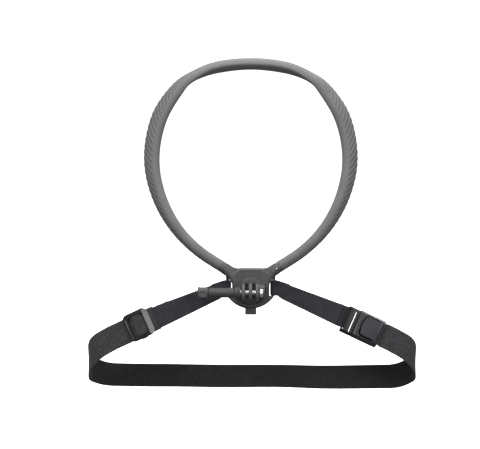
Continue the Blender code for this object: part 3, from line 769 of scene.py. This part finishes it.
def make_chest_pad():
    """A crowned foam pad with moulded channels and a rounded skirt."""
    side = [(-3, -178.9), (-8.6, -179.4), (-12.6, -181.6), (-15.2, -184.6)]
    outline = side + arc((0, DISC_Z), 15.4, 172, 368, 60) + mirrored(side)
    middle = Vector((0, -196))
    base = COVER_BACK + GAP
    crown = PAD_BACK - base
    sections = []
    levels = [0, 0.05, 0.1, 0.16, 0.24, 0.32, 0.4, 0.46, 0.5, 0.54, 0.6, 0.68, 0.76, 0.82, 0.86,
              0.89, 0.92, 0.94, 0.96, 0.975, 0.988, 0.997, 1]
    for level in levels:
        ring = []
        for x, z in outline:
            spot = middle + (Vector((x, z)) - middle) * max(level, 0.001)
            edge = sqrt(max(0, 1 - level ** 9))
            channel = exp(-((level - 0.72) / 0.035) ** 2)
            cross = exp(-(abs(spot.y - middle.y) / 0.55) ** 2) * (1 - ease(level, 0.62, 0.70))
            swell = crown * (0.62 + 0.38 * (1 - level ** 2)) * (0.25 + 0.75 * edge)
            ring.append((spot.x, base + swell - 0.55 * max(channel, cross), spot.y))
        sections.append(ring)
    sections.append([(x, base, z) for x, z in outline])
    pad = skin(sections)
    finished(pad, "chest_pad_foam", FOAM, "root", ["chest_pad"], 50)


# ---- camera mount


def side_prism(outline, left, right, radius, segments=3):
    """An outline in Y and Z about the screw, as wide as left to right along X."""
    return prism(outline, -right, -left, radius, segments, spun(90, "Z"))


def finger_outline(half, tip):
    base = DISC_FRONT + 1
    points = [(base, DISC_Z - half), (base, DISC_Z + half)]
    for step in range(25):
        angle = pi / 2 + pi * step / 24
        points.append((SCREW_Y + tip * cos(angle), DISC_Z + half * sin(angle)))
    return points


def make_insert():
    profile = [(0, 0), (0, 11.2), (0.12, 11.9), (0.45, 12.35), (0.9, DISC_RADIUS), (2.1, DISC_RADIUS),
               (2.1, SKIRT_RADIUS), (4.9, SKIRT_RADIUS), (4.9, 10.6), (3, 10.6), (3, 0)]
    place = at((0, DISC_FRONT, DISC_Z)) @ spun(90, "Z")
    insert = lathe(profile, place, 120)
    parts = []
    for step in (-1, 0, 1):
        left = FINGER_MIDDLE + step * FINGER_PITCH - FINGER_THICK / 2
        parts.append(side_prism(finger_outline(7.7, 7.5), left, left + FINGER_THICK, 0.4))
    parts.append(side_prism(finger_outline(6.4, 5.2), 7.03, 12.1, 0.5))
    join(insert, *parts)
    pocket_back = SCREW_Y + NUT_FLATS / 2 + GAP
    tools = [block((NUT_LEFT - GAP, -30, DISC_Z - 4.95),
                   (NUT_RIGHT + GAP, pocket_back, DISC_Z + 4.95), 0.15, 2),
             cylinder((-20, SCREW_Y, DISC_Z), (20, SCREW_Y, DISC_Z), BORE_RADIUS, steps=64)]
    for side in (-1, 1):
        middle = FINGER_MIDDLE + side * FINGER_PITCH / 2
        tools.append(block((middle - 1.4, -12, DISC_Z - 6.4),
                           (middle + 1.4, DISC_FRONT + 2.2, DISC_Z + 6.4), 0.2, 2))
    for quarter in range(4):
        turn = at((0, 0, DISC_Z)) @ spun(90 * quarter, "Y")
        tools.append(block((-1.7, -5.1, -12.4), (1.7, 1, -9), 0.2, 2, turn))
    cut(insert, *tools)
    finished(insert, "mount_insert_skin", SHELL, "camera_mount", ["mount_insert"])


def make_nut():
    """A hexagonal nut with chamfered corners and a countersunk bore."""
    corner = NUT_FLATS / sqrt(3)
    centre = at(SCREW_CENTRE)

    def turned(left):
        """A turned body with the same profile at both ends."""
        right = [(NUT_LEFT + NUT_RIGHT - x, radius) for x, radius in reversed(left)]
        return lathe(left + right, centre, 72)

    nut = prism(arc((0, 0), corner, 0, 300, 5), -NUT_RIGHT, -NUT_LEFT, 0, 1, centre @ spun(90, "Z"))
    carved(nut, "INTERSECT",
           turned([(NUT_LEFT, 0), (NUT_LEFT, NUT_FLATS / 2), (NUT_LEFT + 0.4, corner + 0.05)]))
    wide = BORE_RADIUS + 0.4
    bore = [(NUT_LEFT - 1, 0), (NUT_LEFT - 1, wide), (NUT_LEFT, wide), (NUT_LEFT + 0.4, BORE_RADIUS)]
    cut(nut, turned(bore))
    finished(nut, "hex_nut_steel", STEEL, "camera_mount", ["hex_nut"], 25)


def make_screw_shaft():
    """The threaded shaft, plain where the grip holds it and tapered at its tip."""
    start = -29.7
    end = 11.6
    count = round((end - start) / (THREAD_PITCH / 10))
    sections = []
    for i in range(count + 1):
        along = start + (end - start) * i / count
        thread = ease(along, -8.4, -7.8)
        tip = ease(along, end - 0.9, end)
        ring = []
        for side, (c, s) in enumerate(circle(36)):
            phase = (along / THREAD_PITCH - side / 36) % 1
            groove = 1 - abs(2 * phase - 1)
            radius = THREAD_RADIUS - thread * 0.42 * ease(groove, 0.08, 0.92) - tip * 0.55
            ring.append(SCREW_CENTRE + Vector((along, radius * c, radius * s)))
        sections.append(ring)
    finished(skin(sections), "screw_shaft_thread", STEEL, "thumb_screw", ["screw_shaft"], 40)


def make_screw_grip():
    """The long grip, necked before its double collar."""
    edge = [(12.05, COLLAR), (11.9, COLLAR - 0.15), (11.8, COLLAR - 0.5), (11.65, COLLAR - 0.5),
            (11.55, COLLAR - 0.15), (11.4, COLLAR)]
    neck = [(16.4, GRIP_RADIUS), (15.9, GRIP_RADIUS - 0.08), (15.55, GRIP_RADIUS - 0.35),
            (15.1, GRIP_RADIUS - 0.45), (14.65, GRIP_RADIUS - 0.35), (14.35, GRIP_RADIUS + 0.1)]
    profile = [(37.6, 0), (37.6, GRIP_RADIUS - 0.5), (37.45, GRIP_RADIUS - 0.15), (37.1, GRIP_RADIUS),
               *neck, (14.2, COLLAR - 0.4), (14, COLLAR - 0.1), (13.7, COLLAR), *edge, (9.7, COLLAR),
               (9.4, COLLAR - 0.12), (9.3, COLLAR - 0.4), (9.3, BORE_RADIUS), (30, BORE_RADIUS), (30, 0)]
    grip = lathe([(-x, radius) for x, radius in profile], at(SCREW_CENTRE), 96)
    finished(grip, "screw_grip_skin", GRIP, "thumb_screw", ["screw_grip"])


def make_grip_cap():
    """The end cap, with four flats to hold it by."""
    centre = at(SCREW_CENTRE)
    profile = [(-47.3, 0), (-47.3, COLLAR - 1), (-47.1, COLLAR - 0.4), (-46.7, COLLAR - 0.08),
               (-46.3, COLLAR), (-38.7, COLLAR), (-38.35, COLLAR - 0.12), (-38.1, COLLAR - 0.5), (-38.1, 0)]
    flats = [block((-45.9, -7, -2.75), (-39.6, -4.45, 2.75), 0.35, 3, centre @ spun(90 * k, "X"))
             for k in range(4)]
    cap = cut(lathe(profile, centre, 96), *flats)
    finished(cap, "grip_cap_skin", SHELL, "thumb_screw", ["grip_cap"])


def make_washer():
    profile = [(-8.95, BORE_RADIUS), (-8.95, 4.1), (-8.87, 4.2), (-8.58, 4.2), (-8.5, 4.1),
               (-8.5, BORE_RADIUS), (-8.95, BORE_RADIUS)]
    washer = lathe(profile, at(SCREW_CENTRE), 64)
    finished(washer, "thrust_washer_steel", BLACK_STEEL, "screw_carriage", ["thrust_washer"], 30)


def make_locking_pin():
    x, z = PIN
    pin = lathe([(-0.3, 0), (-0.28, 0.3), (-0.2, 0.6), (0, 0.86), (0.35, 1), (2.6, 1), (2.6, 0)],
                at((x, -8.6, z)) @ spun(90, "Z"), 40)
    finished(pin, "locking_pin_steel", STEEL, "root", ["locking_pin"], 30)


def make_release_button():
    low = DISC_Z - 22.7
    button = block((-5.1, -4.6, low), (5.1, -0.1, DISC_Z - 16.5), 0.95, 4)
    rows = [low + 1.5 + 1.15 * step for step in range(3)]
    cut(button, *[block((-3.7, -5.6, z - 0.22), (3.7, -4.35, z + 0.22), 0.1, 2) for z in rows])
    join(button, block((-4, -2.9, DISC_Z - 18), (4, -1.3, DISC_Z - 6.5), 0.25),
         block((-1.4, -4.9, DISC_Z - 10.3), (1.4, -2, DISC_Z - 8.2), 0.2))
    finished(button, "release_button_skin", SHELL, "release_button", ["release_button"])


def make_button_springs():
    """Two coils that stretch between the plate and the release button."""
    steps = 6 * 24
    for side, x in (("left", -2.3), ("right", 2.3)):
        coil = []
        for step in range(steps + 1):
            angle = 2 * pi * step / 24
            rise = 5.2 * ease(step / steps, 0.04, 0.96)
            coil.append(Vector((x + cos(angle), -2.1 + sin(angle), DISC_Z - 6 + rise)))
        spring = pipe(coil, [0.2] * len(coil), 8)
        finished(spring, "button_spring_wire_" + side, STEEL, None, ["button_spring_" + side], 60)
        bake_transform(spring)


# ---- straps


def across(side, tilt, lean):
    return Vector((side * sin(tilt) * cos(lean), sin(lean), cos(tilt) * cos(lean)))


def run_matrix(side, out, up):
    """Frame of the straight run: X outward along it, Z over its width, -Y to the front."""
    along = Vector((side * cos(RUN_SLOPE), 0, -sin(RUN_SLOPE)))
    over = across(side, RUN_SLOPE, RUN_LEAN)
    back = over.cross(along)
    if back.y < 0:
        back = -back
    return at((side * out, 0, up)) @ Matrix((along, back, over)).transposed().to_4x4()


def resampled(stations, spacing, steps=24):
    """Stations of centre and half-width vector, evenly spaced on a smooth line."""
    rows = smooth([(*centre, *half) for centre, half in stations], steps)
    fine = [(Vector(row[:3]), Vector(row[3:])) for row in rows]
    lengths = lengths_along([centre for centre, half in fine])
    count = max(2, round(lengths[-1] / spacing))
    made = []
    j = 0
    for i in range(count + 1):
        run = lengths[-1] * i / count
        while j < len(fine) - 2 and lengths[j + 1] < run:
            j += 1
        share = min(max((run - lengths[j]) / max(lengths[j + 1] - lengths[j], 1e-6), 0), 1)
        centre, half = [a.lerp(b, share) for a, b in zip(fine[j], fine[j + 1])]
        made.append((centre, half, run))
    return made


def station_frames(stations):
    """Centre, half-width vector, normal, along and run at each station."""
    centres = [centre for centre, half, run in stations]
    frames = []
    for i, (centre, half, run) in enumerate(stations):
        along = tangent(centres, i)
        frames.append((centre, half, half.normalized().cross(along).normalized(), along, run))
    return frames


def mark(obj, name, values):
    """Writes a value at each of a mesh's points, for its material to read."""
    obj.data.attributes.new(name, "FLOAT", "POINT").data.foreach_set("value", values)


def ribbon_skin(stations, thick, columns, lift, darkening=lambda run, width, face: 0):
    """Webbing with rounded selvedges; lift moves its surface and the last argument darkens its colour, which
    the tabs use for painted shade along their seams.
    """
    even = [2 * k / columns - 1 for k in range(columns + 1)]
    shares = [sin(pi / 2 * share) * 0.35 + share * 0.65 for share in even]
    sections = []
    marks = []
    for centre, half, normal, along, run in station_frames(stations):
        ring = []
        for face, order in ((1, shares), (-1, shares[::-1])):
            for share in order:
                body = max(0, 1 - abs(share) ** 14) ** 0.5
                height = thick / 2 * (0.30 + 0.70 * body) + lift(run, share, face) * body
                ring.append(centre + half * share + normal * face * height)
                width = share * half.length
                marks.append((run, width, darkening(run, width, face)))
        sections.append(ring)
    obj = skin(sections)
    for name, values in zip(("run_mm", "width_mm", "darkening"), zip(*marks)):
        mark(obj, name, values)
    return obj


def turn_stations(side, extra):
    rows = []
    for out, back, up, tilt, lean in smooth(TURN, 4):
        half = across(side, radians(tilt), radians(lean)) * WEB_WIDTH / 2
        drop = extra * tan(RUN_SLOPE) * (1 - back / STRAP_BACK)
        rows.append((Vector((side * (out + extra), back, up - drop)), half))
    return rows


def run_station(side, knee, reach):
    """A station of the elastic on its straight run, at a distance out from the knee."""
    over = across(side, RUN_SLOPE, RUN_LEAN) * WEB_WIDTH / 2
    return Vector((side * (knee[0] + reach), 0, knee[1] - reach * tan(RUN_SLOPE))), over


def elastic_stations():
    left = [run_station(-1, LEFT_KNEE, out - LEFT_KNEE[0]) for out in (72, 90, 108)]
    right = [run_station(1, RIGHT_KNEE, 31.6 * cos(RUN_SLOPE))]
    middle = [(Vector((x, STRAP_BACK, -287.6)), Vector((0, 0, WEB_WIDTH / 2))) for x in (-30, 0, 30)]
    return left + turn_stations(-1, 0) + middle + turn_stations(1, RIGHT_EXTRA)[::-1] + right


def inner_face(stations):
    """Which side of the ribbon faces the wearer: the back one on its first, front stretch."""
    normal = station_frames(stations)[10][2]
    return 1 if normal.y > 0 else -1


def make_elastic_strap():
    """Elastic webbing with cross ribs; the end in the buckle follows the buckle's shell."""
    stations = resampled(elastic_stations(), 0.42)
    whole = stations[-1][2]
    eased = []
    for centre, half, run in stations:
        free = ease(run, 60, 110) * (1 - ease(run, whole - 75, whole - 40))
        wander = noise.noise(Vector((run * 0.016, 3.1, 0))) * 0.9 * free
        twist = noise.noise(Vector((run * 0.013, 9.7, 0))) * 0.7 * free
        ends = 0.15 * (1 - ease(run, 13.5, 15.5)) + 0.06 * ease(run, whole - 4, whole - 1)
        behind = ease(centre.y, 25, 36)
        right = behind * ease(centre.x, 20, 90)
        hang = 0.65 * behind * ease(-centre.x, 20, 80) - 1.05 * right
        wide = 1 - ends + 0.035 * right
        eased.append((centre + Vector((0, 0, wander * 0.4 + hang)), half * wide + Vector((0, twist, 0)), run))

    def ribs(run, share, face):
        wave = cos(2 * pi * run / 1.68)
        rim = ease(abs(share), 0.86, 0.93)
        return 0.055 * wave * (1 - 0.7 * rim) + 0.06 * rim

    # The face towards the wearer is darker.
    inner = inner_face(eased)
    strap = ribbon_skin(eased, WEB_THICK * 0.92, 22, ribs, lambda run, width, face: face == inner)
    finished(strap, "elastic_strap_webbing", WEBBING, None, ["elastic_strap"], 60)
    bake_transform(strap)


def tab_loop(side):
    route = ((33, 1.6), (28, 3.6), (23.8, 5.2), (20.8, 5.3), (18.8, 4.8),
             (18.1, 2.4), (18.7, -0.5), (20.8, -0.95), (24, -0.95))
    rows = []
    for out, back in smooth(route, 3):
        share = min(max((out - 24) / 9, 0), 1)
        drop = share * 9 * tan(TAB_SLOPE)
        half = across(side, TAB_SLOPE * share, 0) * (6.6 + share)
        rows.append((Vector((side * out, back, -196.2 - drop)), half))
    return rows


def tab_run(side, knee, front):
    start = Vector((24, -0.95, -196.2))
    end = Vector((knee[0], front, knee[1]))
    rows = []
    for step in range(1, 9):
        share = step / 8
        place = start.lerp(end, share)
        half = across(side, TAB_SLOPE + (RUN_SLOPE - TAB_SLOPE) * share, RUN_LEAN * share)
        rows.append((Vector((side * place.x, place.y, place.z)), half * (6.8 + 3.2 * share)))
    return rows


def stitch_row(bm, frames, runs, share_of, face, thick, length, crossways=False):
    """Short threads pressed into the surface, one at each run position."""
    spots = [frame[4] for frame in frames]
    for run in runs:
        i = min(range(len(spots)), key=lambda k: abs(spots[k] - run))
        centre, half, normal, along = frames[i][:4]
        share = share_of(half.length)
        over = half.normalized()
        direction = over if crossways else along
        other = direction.cross(normal).normalized()
        middle = centre + half * share + normal * face * (thick / 2 + 0.03)
        turn = Matrix((other, normal, direction)).transposed().to_4x4()
        size = Matrix.Diagonal((0.31, 0.17, length / 2, 1))
        bmesh.ops.create_uvsphere(bm, u_segments=8, v_segments=7, radius=1, matrix=at(middle) @ turn @ size)


def make_tab(name, stations, first_run, last_run, cross_runs, dark_from):
    """A folded, stitched tab: two layers with a seam channel and rows of thread."""
    dense = resampled(stations, 0.5, 10)
    thick = TAB_THICK * 0.9
    inset = 1.45

    def half_width(run):
        return 6.8 + 3.2 * ease(run, first_run, last_run)

    def seams(run, width, soft, soft_cross):
        """How near a place is to the side rows and to the cross rows of stitches."""
        beside = (abs(width) - half_width(run) + inset) / soft
        return exp(-beside ** 2), max(exp(-((run - cross) / soft_cross) ** 2) for cross in cross_runs)

    def channel(run, share, face):
        puff = 0.05 * sin(2 * pi * run / 3.4) * ease(abs(share), 0.82, 0.95)
        return puff - 0.17 * max(seams(run, share * half_width(run), 0.45, 0.5))

    # Painted shade along the seam channels and cross rows of stitches; from dark_from to the end the cloth is
    # darker.
    def shade(run, width, face):
        beside, cross = seams(run, width, 0.5, 0.6)
        seam = max(beside * ease(run, first_run - 1, first_run), cross)
        return max(0.7 * seam, ease(run, dark_from, dark_from + 0.6))

    tab = ribbon_skin(dense, thick, 40, channel, shade)
    finished(tab, name + "_cloth", TAB_CLOTH, "root", [name], 60)
    bm = bmesh.new()
    frames = station_frames(dense)
    pitch = 3.4
    runs = [first_run + (k + 0.5) * pitch for k in range(int((last_run - first_run) / pitch))]
    for face in (1, -1):
        for edge in (1, -1):
            stitch_row(bm, frames, runs, lambda half: edge * (1 - inset / half), face, thick - 0.2, 1.5)
        for cross in cross_runs:
            for k in range(-4, 5):
                stitch_row(bm, frames, [cross], lambda half: k * 1.9 / half, face, thick - 0.2, 0.95, True)
    finished(from_bmesh(bm), name + "_stitches", THREAD, "root", (), 60)


def run_to(stations, spot):
    """Distance along the stations to the place nearest a point."""
    dense = resampled(stations, 0.5, 10)
    return min(dense, key=lambda row: (row[0] - spot).length)[2]


def make_tabs():
    left = tab_loop(-1) + tab_run(-1, LEFT_KNEE, -2.2)
    over = left[-1][1]
    end = left[-1][0] + Vector((-cos(RUN_SLOPE), 0, -sin(RUN_SLOPE))) * 5.5
    left.append((end, over))
    start_run = run_to(left, Vector((-25, -0.95, -196.6)))
    end_run = run_to(left, end) - 2
    box_runs = [end_run - 10.5, end_run - 2.5]
    make_tab("left_tab", left, start_run, end_run, box_runs, 2 * end_run)

    knee = (RIGHT_KNEE[0] - 6.6, RIGHT_KNEE[1] + 6.6 * tan(RUN_SLOPE))
    right = tab_loop(1) + tab_run(1, knee, -1.6)
    place = run_matrix(1, *RIGHT_KNEE)
    over = across(1, RUN_SLOPE, RUN_LEAN) * 9.8
    for along, back in ((-4.4, -1.9), (-2.9, -1.7), (-2.05, -0.7), (-2.05, 0.8), (-2.9, 1.8),
                        (-4.6, 1.9), (-7, 1.5), (-12, 1)):
        right.append((place @ Vector((along, back, 0)), over))
    start_run = run_to(right, Vector((25, -0.95, -196.6)))
    end_run = run_to(right, place @ Vector((-4.6, -2, 0)))
    make_tab("right_tab", right, start_run, end_run, [end_run - 7.5, end_run - 3], end_run - 5.6)


# ---- strap fittings


def softened(points, radius, steps=5):
    """A polygon with its corners turned into short curves."""
    made = []
    count = len(points)
    for i in range(count):
        corner = Vector(points[i])
        before = Vector(points[i - 1]) - corner
        after = Vector(points[(i + 1) % count]) - corner
        start = corner + before.normalized() * min(radius, before.length * 0.45)
        end = corner + after.normalized() * min(radius, after.length * 0.45)
        for step in range(steps + 1):
            t = step / steps
            made.append(tuple(start * (1 - t) ** 2 + corner * 2 * t * (1 - t) + end * t * t))
    return made


def drawn_along(profile, start, end, radius, place):
    """A profile in Y and Z drawn along X."""
    return prism(softened(profile, 0.55), -end, -start, radius, 4, place @ spun(90, "Z"))


def make_slider():
    drop = (SLIDER_OUT - LEFT_KNEE[0]) * tan(RUN_SLOPE)
    place = run_matrix(-1, SLIDER_OUT, LEFT_KNEE[1] - drop)
    local = blocks_at(place)

    def facet(spot, turn, low, high):
        return block(low, high, 0, 1, place @ at(spot) @ turn)

    centre = at((0.1, 0, 0.55))
    slider = prism(rounded_rect(12, 13, 5, 12), -3.6, -0.95, 0.7, 4, place @ centre)
    window = prism(rounded_rect(7.2, 10.2, 2.4, 8), -8, 4, 0, 1, place @ at((0, 0, -0.2)))
    cut(slider, window, facet((-7.4, -3.6, 0), spun(-25, "Z"), (-12, -6, -20), (0, 0, 20)),
        facet((0, -3.6, 11.2), spun(-32, "X"), (-20, -6, 0), (20, 0, 10)),
        facet((0, -3.6, -10.9), spun(32, "X"), (-20, -6, -10), (20, 0, 0)),
        local((7.9, -6, -9.4), (10.4, -2.6, 9.8), 0.3))
    for low in (-12.7, 11.4):
        join(slider, local((-2.6, -2.4, low), (2.6, 3.4, low + 1.3), 0.45))
    join(slider, local((-1.9, 2, -12.2), (1.9, 3.35, 12.2), 0.4))
    finished(slider, "slider_frame_skin", GLOSS, "strap_slider", ["slider_frame"], 24)

    up = place.to_3x3() @ Vector((0, 0, 1))
    hump = []
    for step in range(-12, 13):
        share = step / 12
        corner = max(0, (abs(share) * 5.7 - 3.7) / 2)
        half = 9.3 - 2 * (1 - sqrt(max(0, 1 - corner ** 2)))
        lift = -1 - 1.9 * (1 - abs(share) ** 3.2)
        hump.append((place @ Vector((0.2 + 5.7 * share, lift, 0.2)), up * half))
    over = up * 9.7
    wrap = []
    for step in range(41):
        angle = 2 * pi * step / 44 + pi / 2 + 0.2
        x = max(-2.72, min(2.72, 3.4 * cos(angle)))
        y = 2.72 + max(-1.30, min(1.30, 1.7 * sin(angle)))
        wrap.append((place @ Vector((x, y, 0)), over))

    def ribs(run, share, face):
        return 0.05 * cos(2 * pi * run / 1.68)

    front = ribbon_skin(resampled(hump, 0.3), 0.9, 26, ribs)
    back = ribbon_skin(resampled(wrap, 0.3), 0.8, 20, ribs)
    finished(back, "slider_wrap", WEBBING, "strap_slider", (), 60)
    finished(front, "slider_webbing", WEBBING, "strap_slider", ["slider_loop"], 60)


MALE_PROFILE = ((1.6, -12.4), (0.6, -13.7), (-0.8, -14), (-3, -12), (-3.4, -11.2), (-3.4, 10.3),
                (-2.4, 11.3), (0.9, 11.4), (1.6, 10.8))
SHELL_PROFILE = ((3.5, -11.4), (1.8, -13.5), (-0.8, -14.1), (-4.3, -11.7), (-4.9, -10.9), (-4.9, 10.1),
                 (-3.4, 12), (0.8, 12.4), (3.5, 10.9))


def tongue_outline(inset, hinge, right):
    """The release tongue's shape: round at one end, full width beyond its hinge."""
    top = 10.4 - inset
    low = -10.1 + inset
    left = 12.1 + inset
    turn = 2.5 - 0.4 * inset
    points = [(hinge, low), (hinge, -10.1), (right, -10.1), (right, 10.4), (hinge, 10.4), (hinge, top)]
    if inset == 0:
        points = [(right, low), (right, top)]
    points += arc((left + turn, top - turn), turn, 90, 180, 8)
    for step in range(1, 12):
        z = (top - turn) + (low - top + 2 * turn) * step / 12
        points.append((left - 1.1 * sin(pi * step / 12), z))
    points += arc((left + turn, low + turn), turn, 180, 270, 8)
    return points


def make_buckle():
    place = run_matrix(1, *RIGHT_KNEE)

    local = blocks_at(place)

    def hole(left, right, low, high, corner):
        outline = rounded_rect((right - left) / 2, (high - low) / 2, corner, 8)
        middle = at(((left + right) / 2, 0, (low + high) / 2))
        return prism(outline, -8, 8, 0, 1, place @ middle)

    male = drawn_along(MALE_PROFILE, -4.1, 7.1, 0.7, place)
    hatch = [local((5.3, -5, -9.9 + 1.25 * k), (7.9, -2.9, -9.3 + 1.25 * k)) for k in range(16)]
    cut(male, hole(-9, -1.5, -10.6, 10.2, 0.5), hole(3.1, 4.6, -11, 8.8, 0.7), *hatch,
        local((-1.9, -6, -10.4), (-0.4, -0.8, 10), 0.1))
    join(male, local((-4, -0.6, -11.5), (-2.65, 0.9, 11), 0.4),
         local((5.5, -1, -3.6), (20.5, 0.9, 3.6), 0.4), local((15, -1.7, -3.5), (16.4, 0, 3.5), 0.2))
    for sign in (-1, 1):
        low = sign * 8 - 1.4
        join(male, local((5.5, -1, low), (17.5, 0.9, low + 2.8), 0.4))
    finished(male, "buckle_male_skin", BLACK, "root", ["buckle_male"])

    female = drawn_along(SHELL_PROFILE, 7.3, 32.1, 0.6, place)
    rim = ((7, -15), (28, -14.6), (32.4, -13.6), (32.4, 11.9), (31, 13), (7, 13))
    rounding = prism(softened(rim, 3), -8, 8, 0, 1, place)
    female = carved(female, "INTERSECT", rounding)
    cut(female, local((0, -2.4, -10.7), (40, 1.6, 10.7), 0.3),
        prism(tongue_outline(0, 0, 31.5), -8, -1, 0, 1, place), local((31.3, -6, -20), (40, -3.5, 20)))
    finished(female, "buckle_female_skin", GLOSS, "buckle_shell", ["buckle_female"])

    button = prism(tongue_outline(1.35, 27, 30.4), -4.9, -3, 0.3, 3, place)
    join(button, local((25.7, -4.2, -8.6), (30.2, -3.1, 8.9), 0.2))
    finished(button, "buckle_button_skin", BUTTON, "buckle_tongue", ["buckle_button"])


# ---- scene


def carry_over():
    """CAD nodes that stay as they are get finished materials."""
    for node, mat in (("core_wire", WIRE), ("ferrule_left", WIRE), ("ferrule_right", WIRE),
                      ("retaining_ring", STEEL), ("rear_screw_left", STEEL), ("rear_screw_right", STEEL)):
        for slot in frame["nodes"][node].material_slots:
            slot.material = mat


def add_object(name, data, spot, direction):
    """A camera or light that looks along a direction."""
    obj = bpy.data.objects.new(name, data)
    bpy.context.scene.collection.objects.link(obj)
    obj.location = spot
    obj.rotation_euler = direction.to_track_quat("-Z", "Y").to_euler()
    return obj


def make_camera():
    data = bpy.data.cameras.new("camera")
    data.sensor_width = 36
    data.lens = 74.2
    data.clip_start = 0.01
    data.clip_end = 40
    target = Vector((-9.7, 0, -138.05)) * MM
    back = Vector((0, -cos(radians(6)), sin(radians(6))))
    bpy.context.scene.camera = add_object("camera", data, target + back * 0.890, -back)


def area_light(name, spot, aim, size, power):
    data = bpy.data.lights.new(name, "AREA")
    data.shape = "DISK"
    data.size = size
    data.energy = power
    add_object(name, data, spot, Vector(aim) - Vector(spot))


def white_surface(name, strength):
    made, tree, shader = new_material(name, 0.95, specular=0)
    grain = noise_of(tree, 3, 2)
    paint(tree, shader, mixed(tree, grain, grey(0.90), grey(0.93)))
    put(shader, Emission_Color=(1, 1, 1, 1), Emission_Strength=strength)
    return made


def make_stage():
    scene = bpy.context.scene
    scene.view_settings.view_transform = "Standard"
    world = bpy.data.worlds.new("studio")
    scene.world = world
    world.use_nodes = True
    put(world.node_tree.nodes["Background"], Color=(1, 1, 1, 1), Strength=0.17)
    floor = bmesh.new()
    bmesh.ops.create_circle(floor, cap_ends=True, segments=96, radius=9000, matrix=at((0, 0, -360)))
    dome = bmesh.new()
    bmesh.ops.create_uvsphere(dome, u_segments=64, v_segments=32, radius=9000)
    for name, bm in (("floor", floor), ("dome", dome)):
        obj = from_bmesh(bm)
        obj.name = name
        obj.data.materials.append(white_surface(name + "_white", 1.1))
        obj.visible_diffuse = False
        obj.visible_glossy = False
        obj.visible_shadow = False
    aim = (0, 0, -0.15)
    area_light("rim", (0.96, 0.17, 0.87), (0.10, 0, -0.23), 0.5, 3.6)
    area_light("key", (-0.55, -1.05, 1.15), aim, 0.9, 19)
    area_light("fill", (0.95, -1.2, 0.45), aim, 0.9, 7)
    area_light("front", (0, -1.5, 0.16), aim, 0.6, 3.2)
    area_light("top", (0, 0.25, 1.35), aim, 1.5, 16)
    area_light("rear", (0.4, 1.4, 0.6), aim, 1.2, 7)


def main():
    make_camera()
    make_stage()
    make_neck_ring()
    make_shell()
    make_rear_cover()
    make_chest_pad()
    make_insert()
    make_nut()
    make_screw_shaft()
    make_screw_grip()
    make_grip_cap()
    make_washer()
    make_locking_pin()
    make_release_button()
    make_button_springs()
    make_elastic_strap()
    make_tabs()
    make_slider()
    make_buckle()
    carry_over()


main()
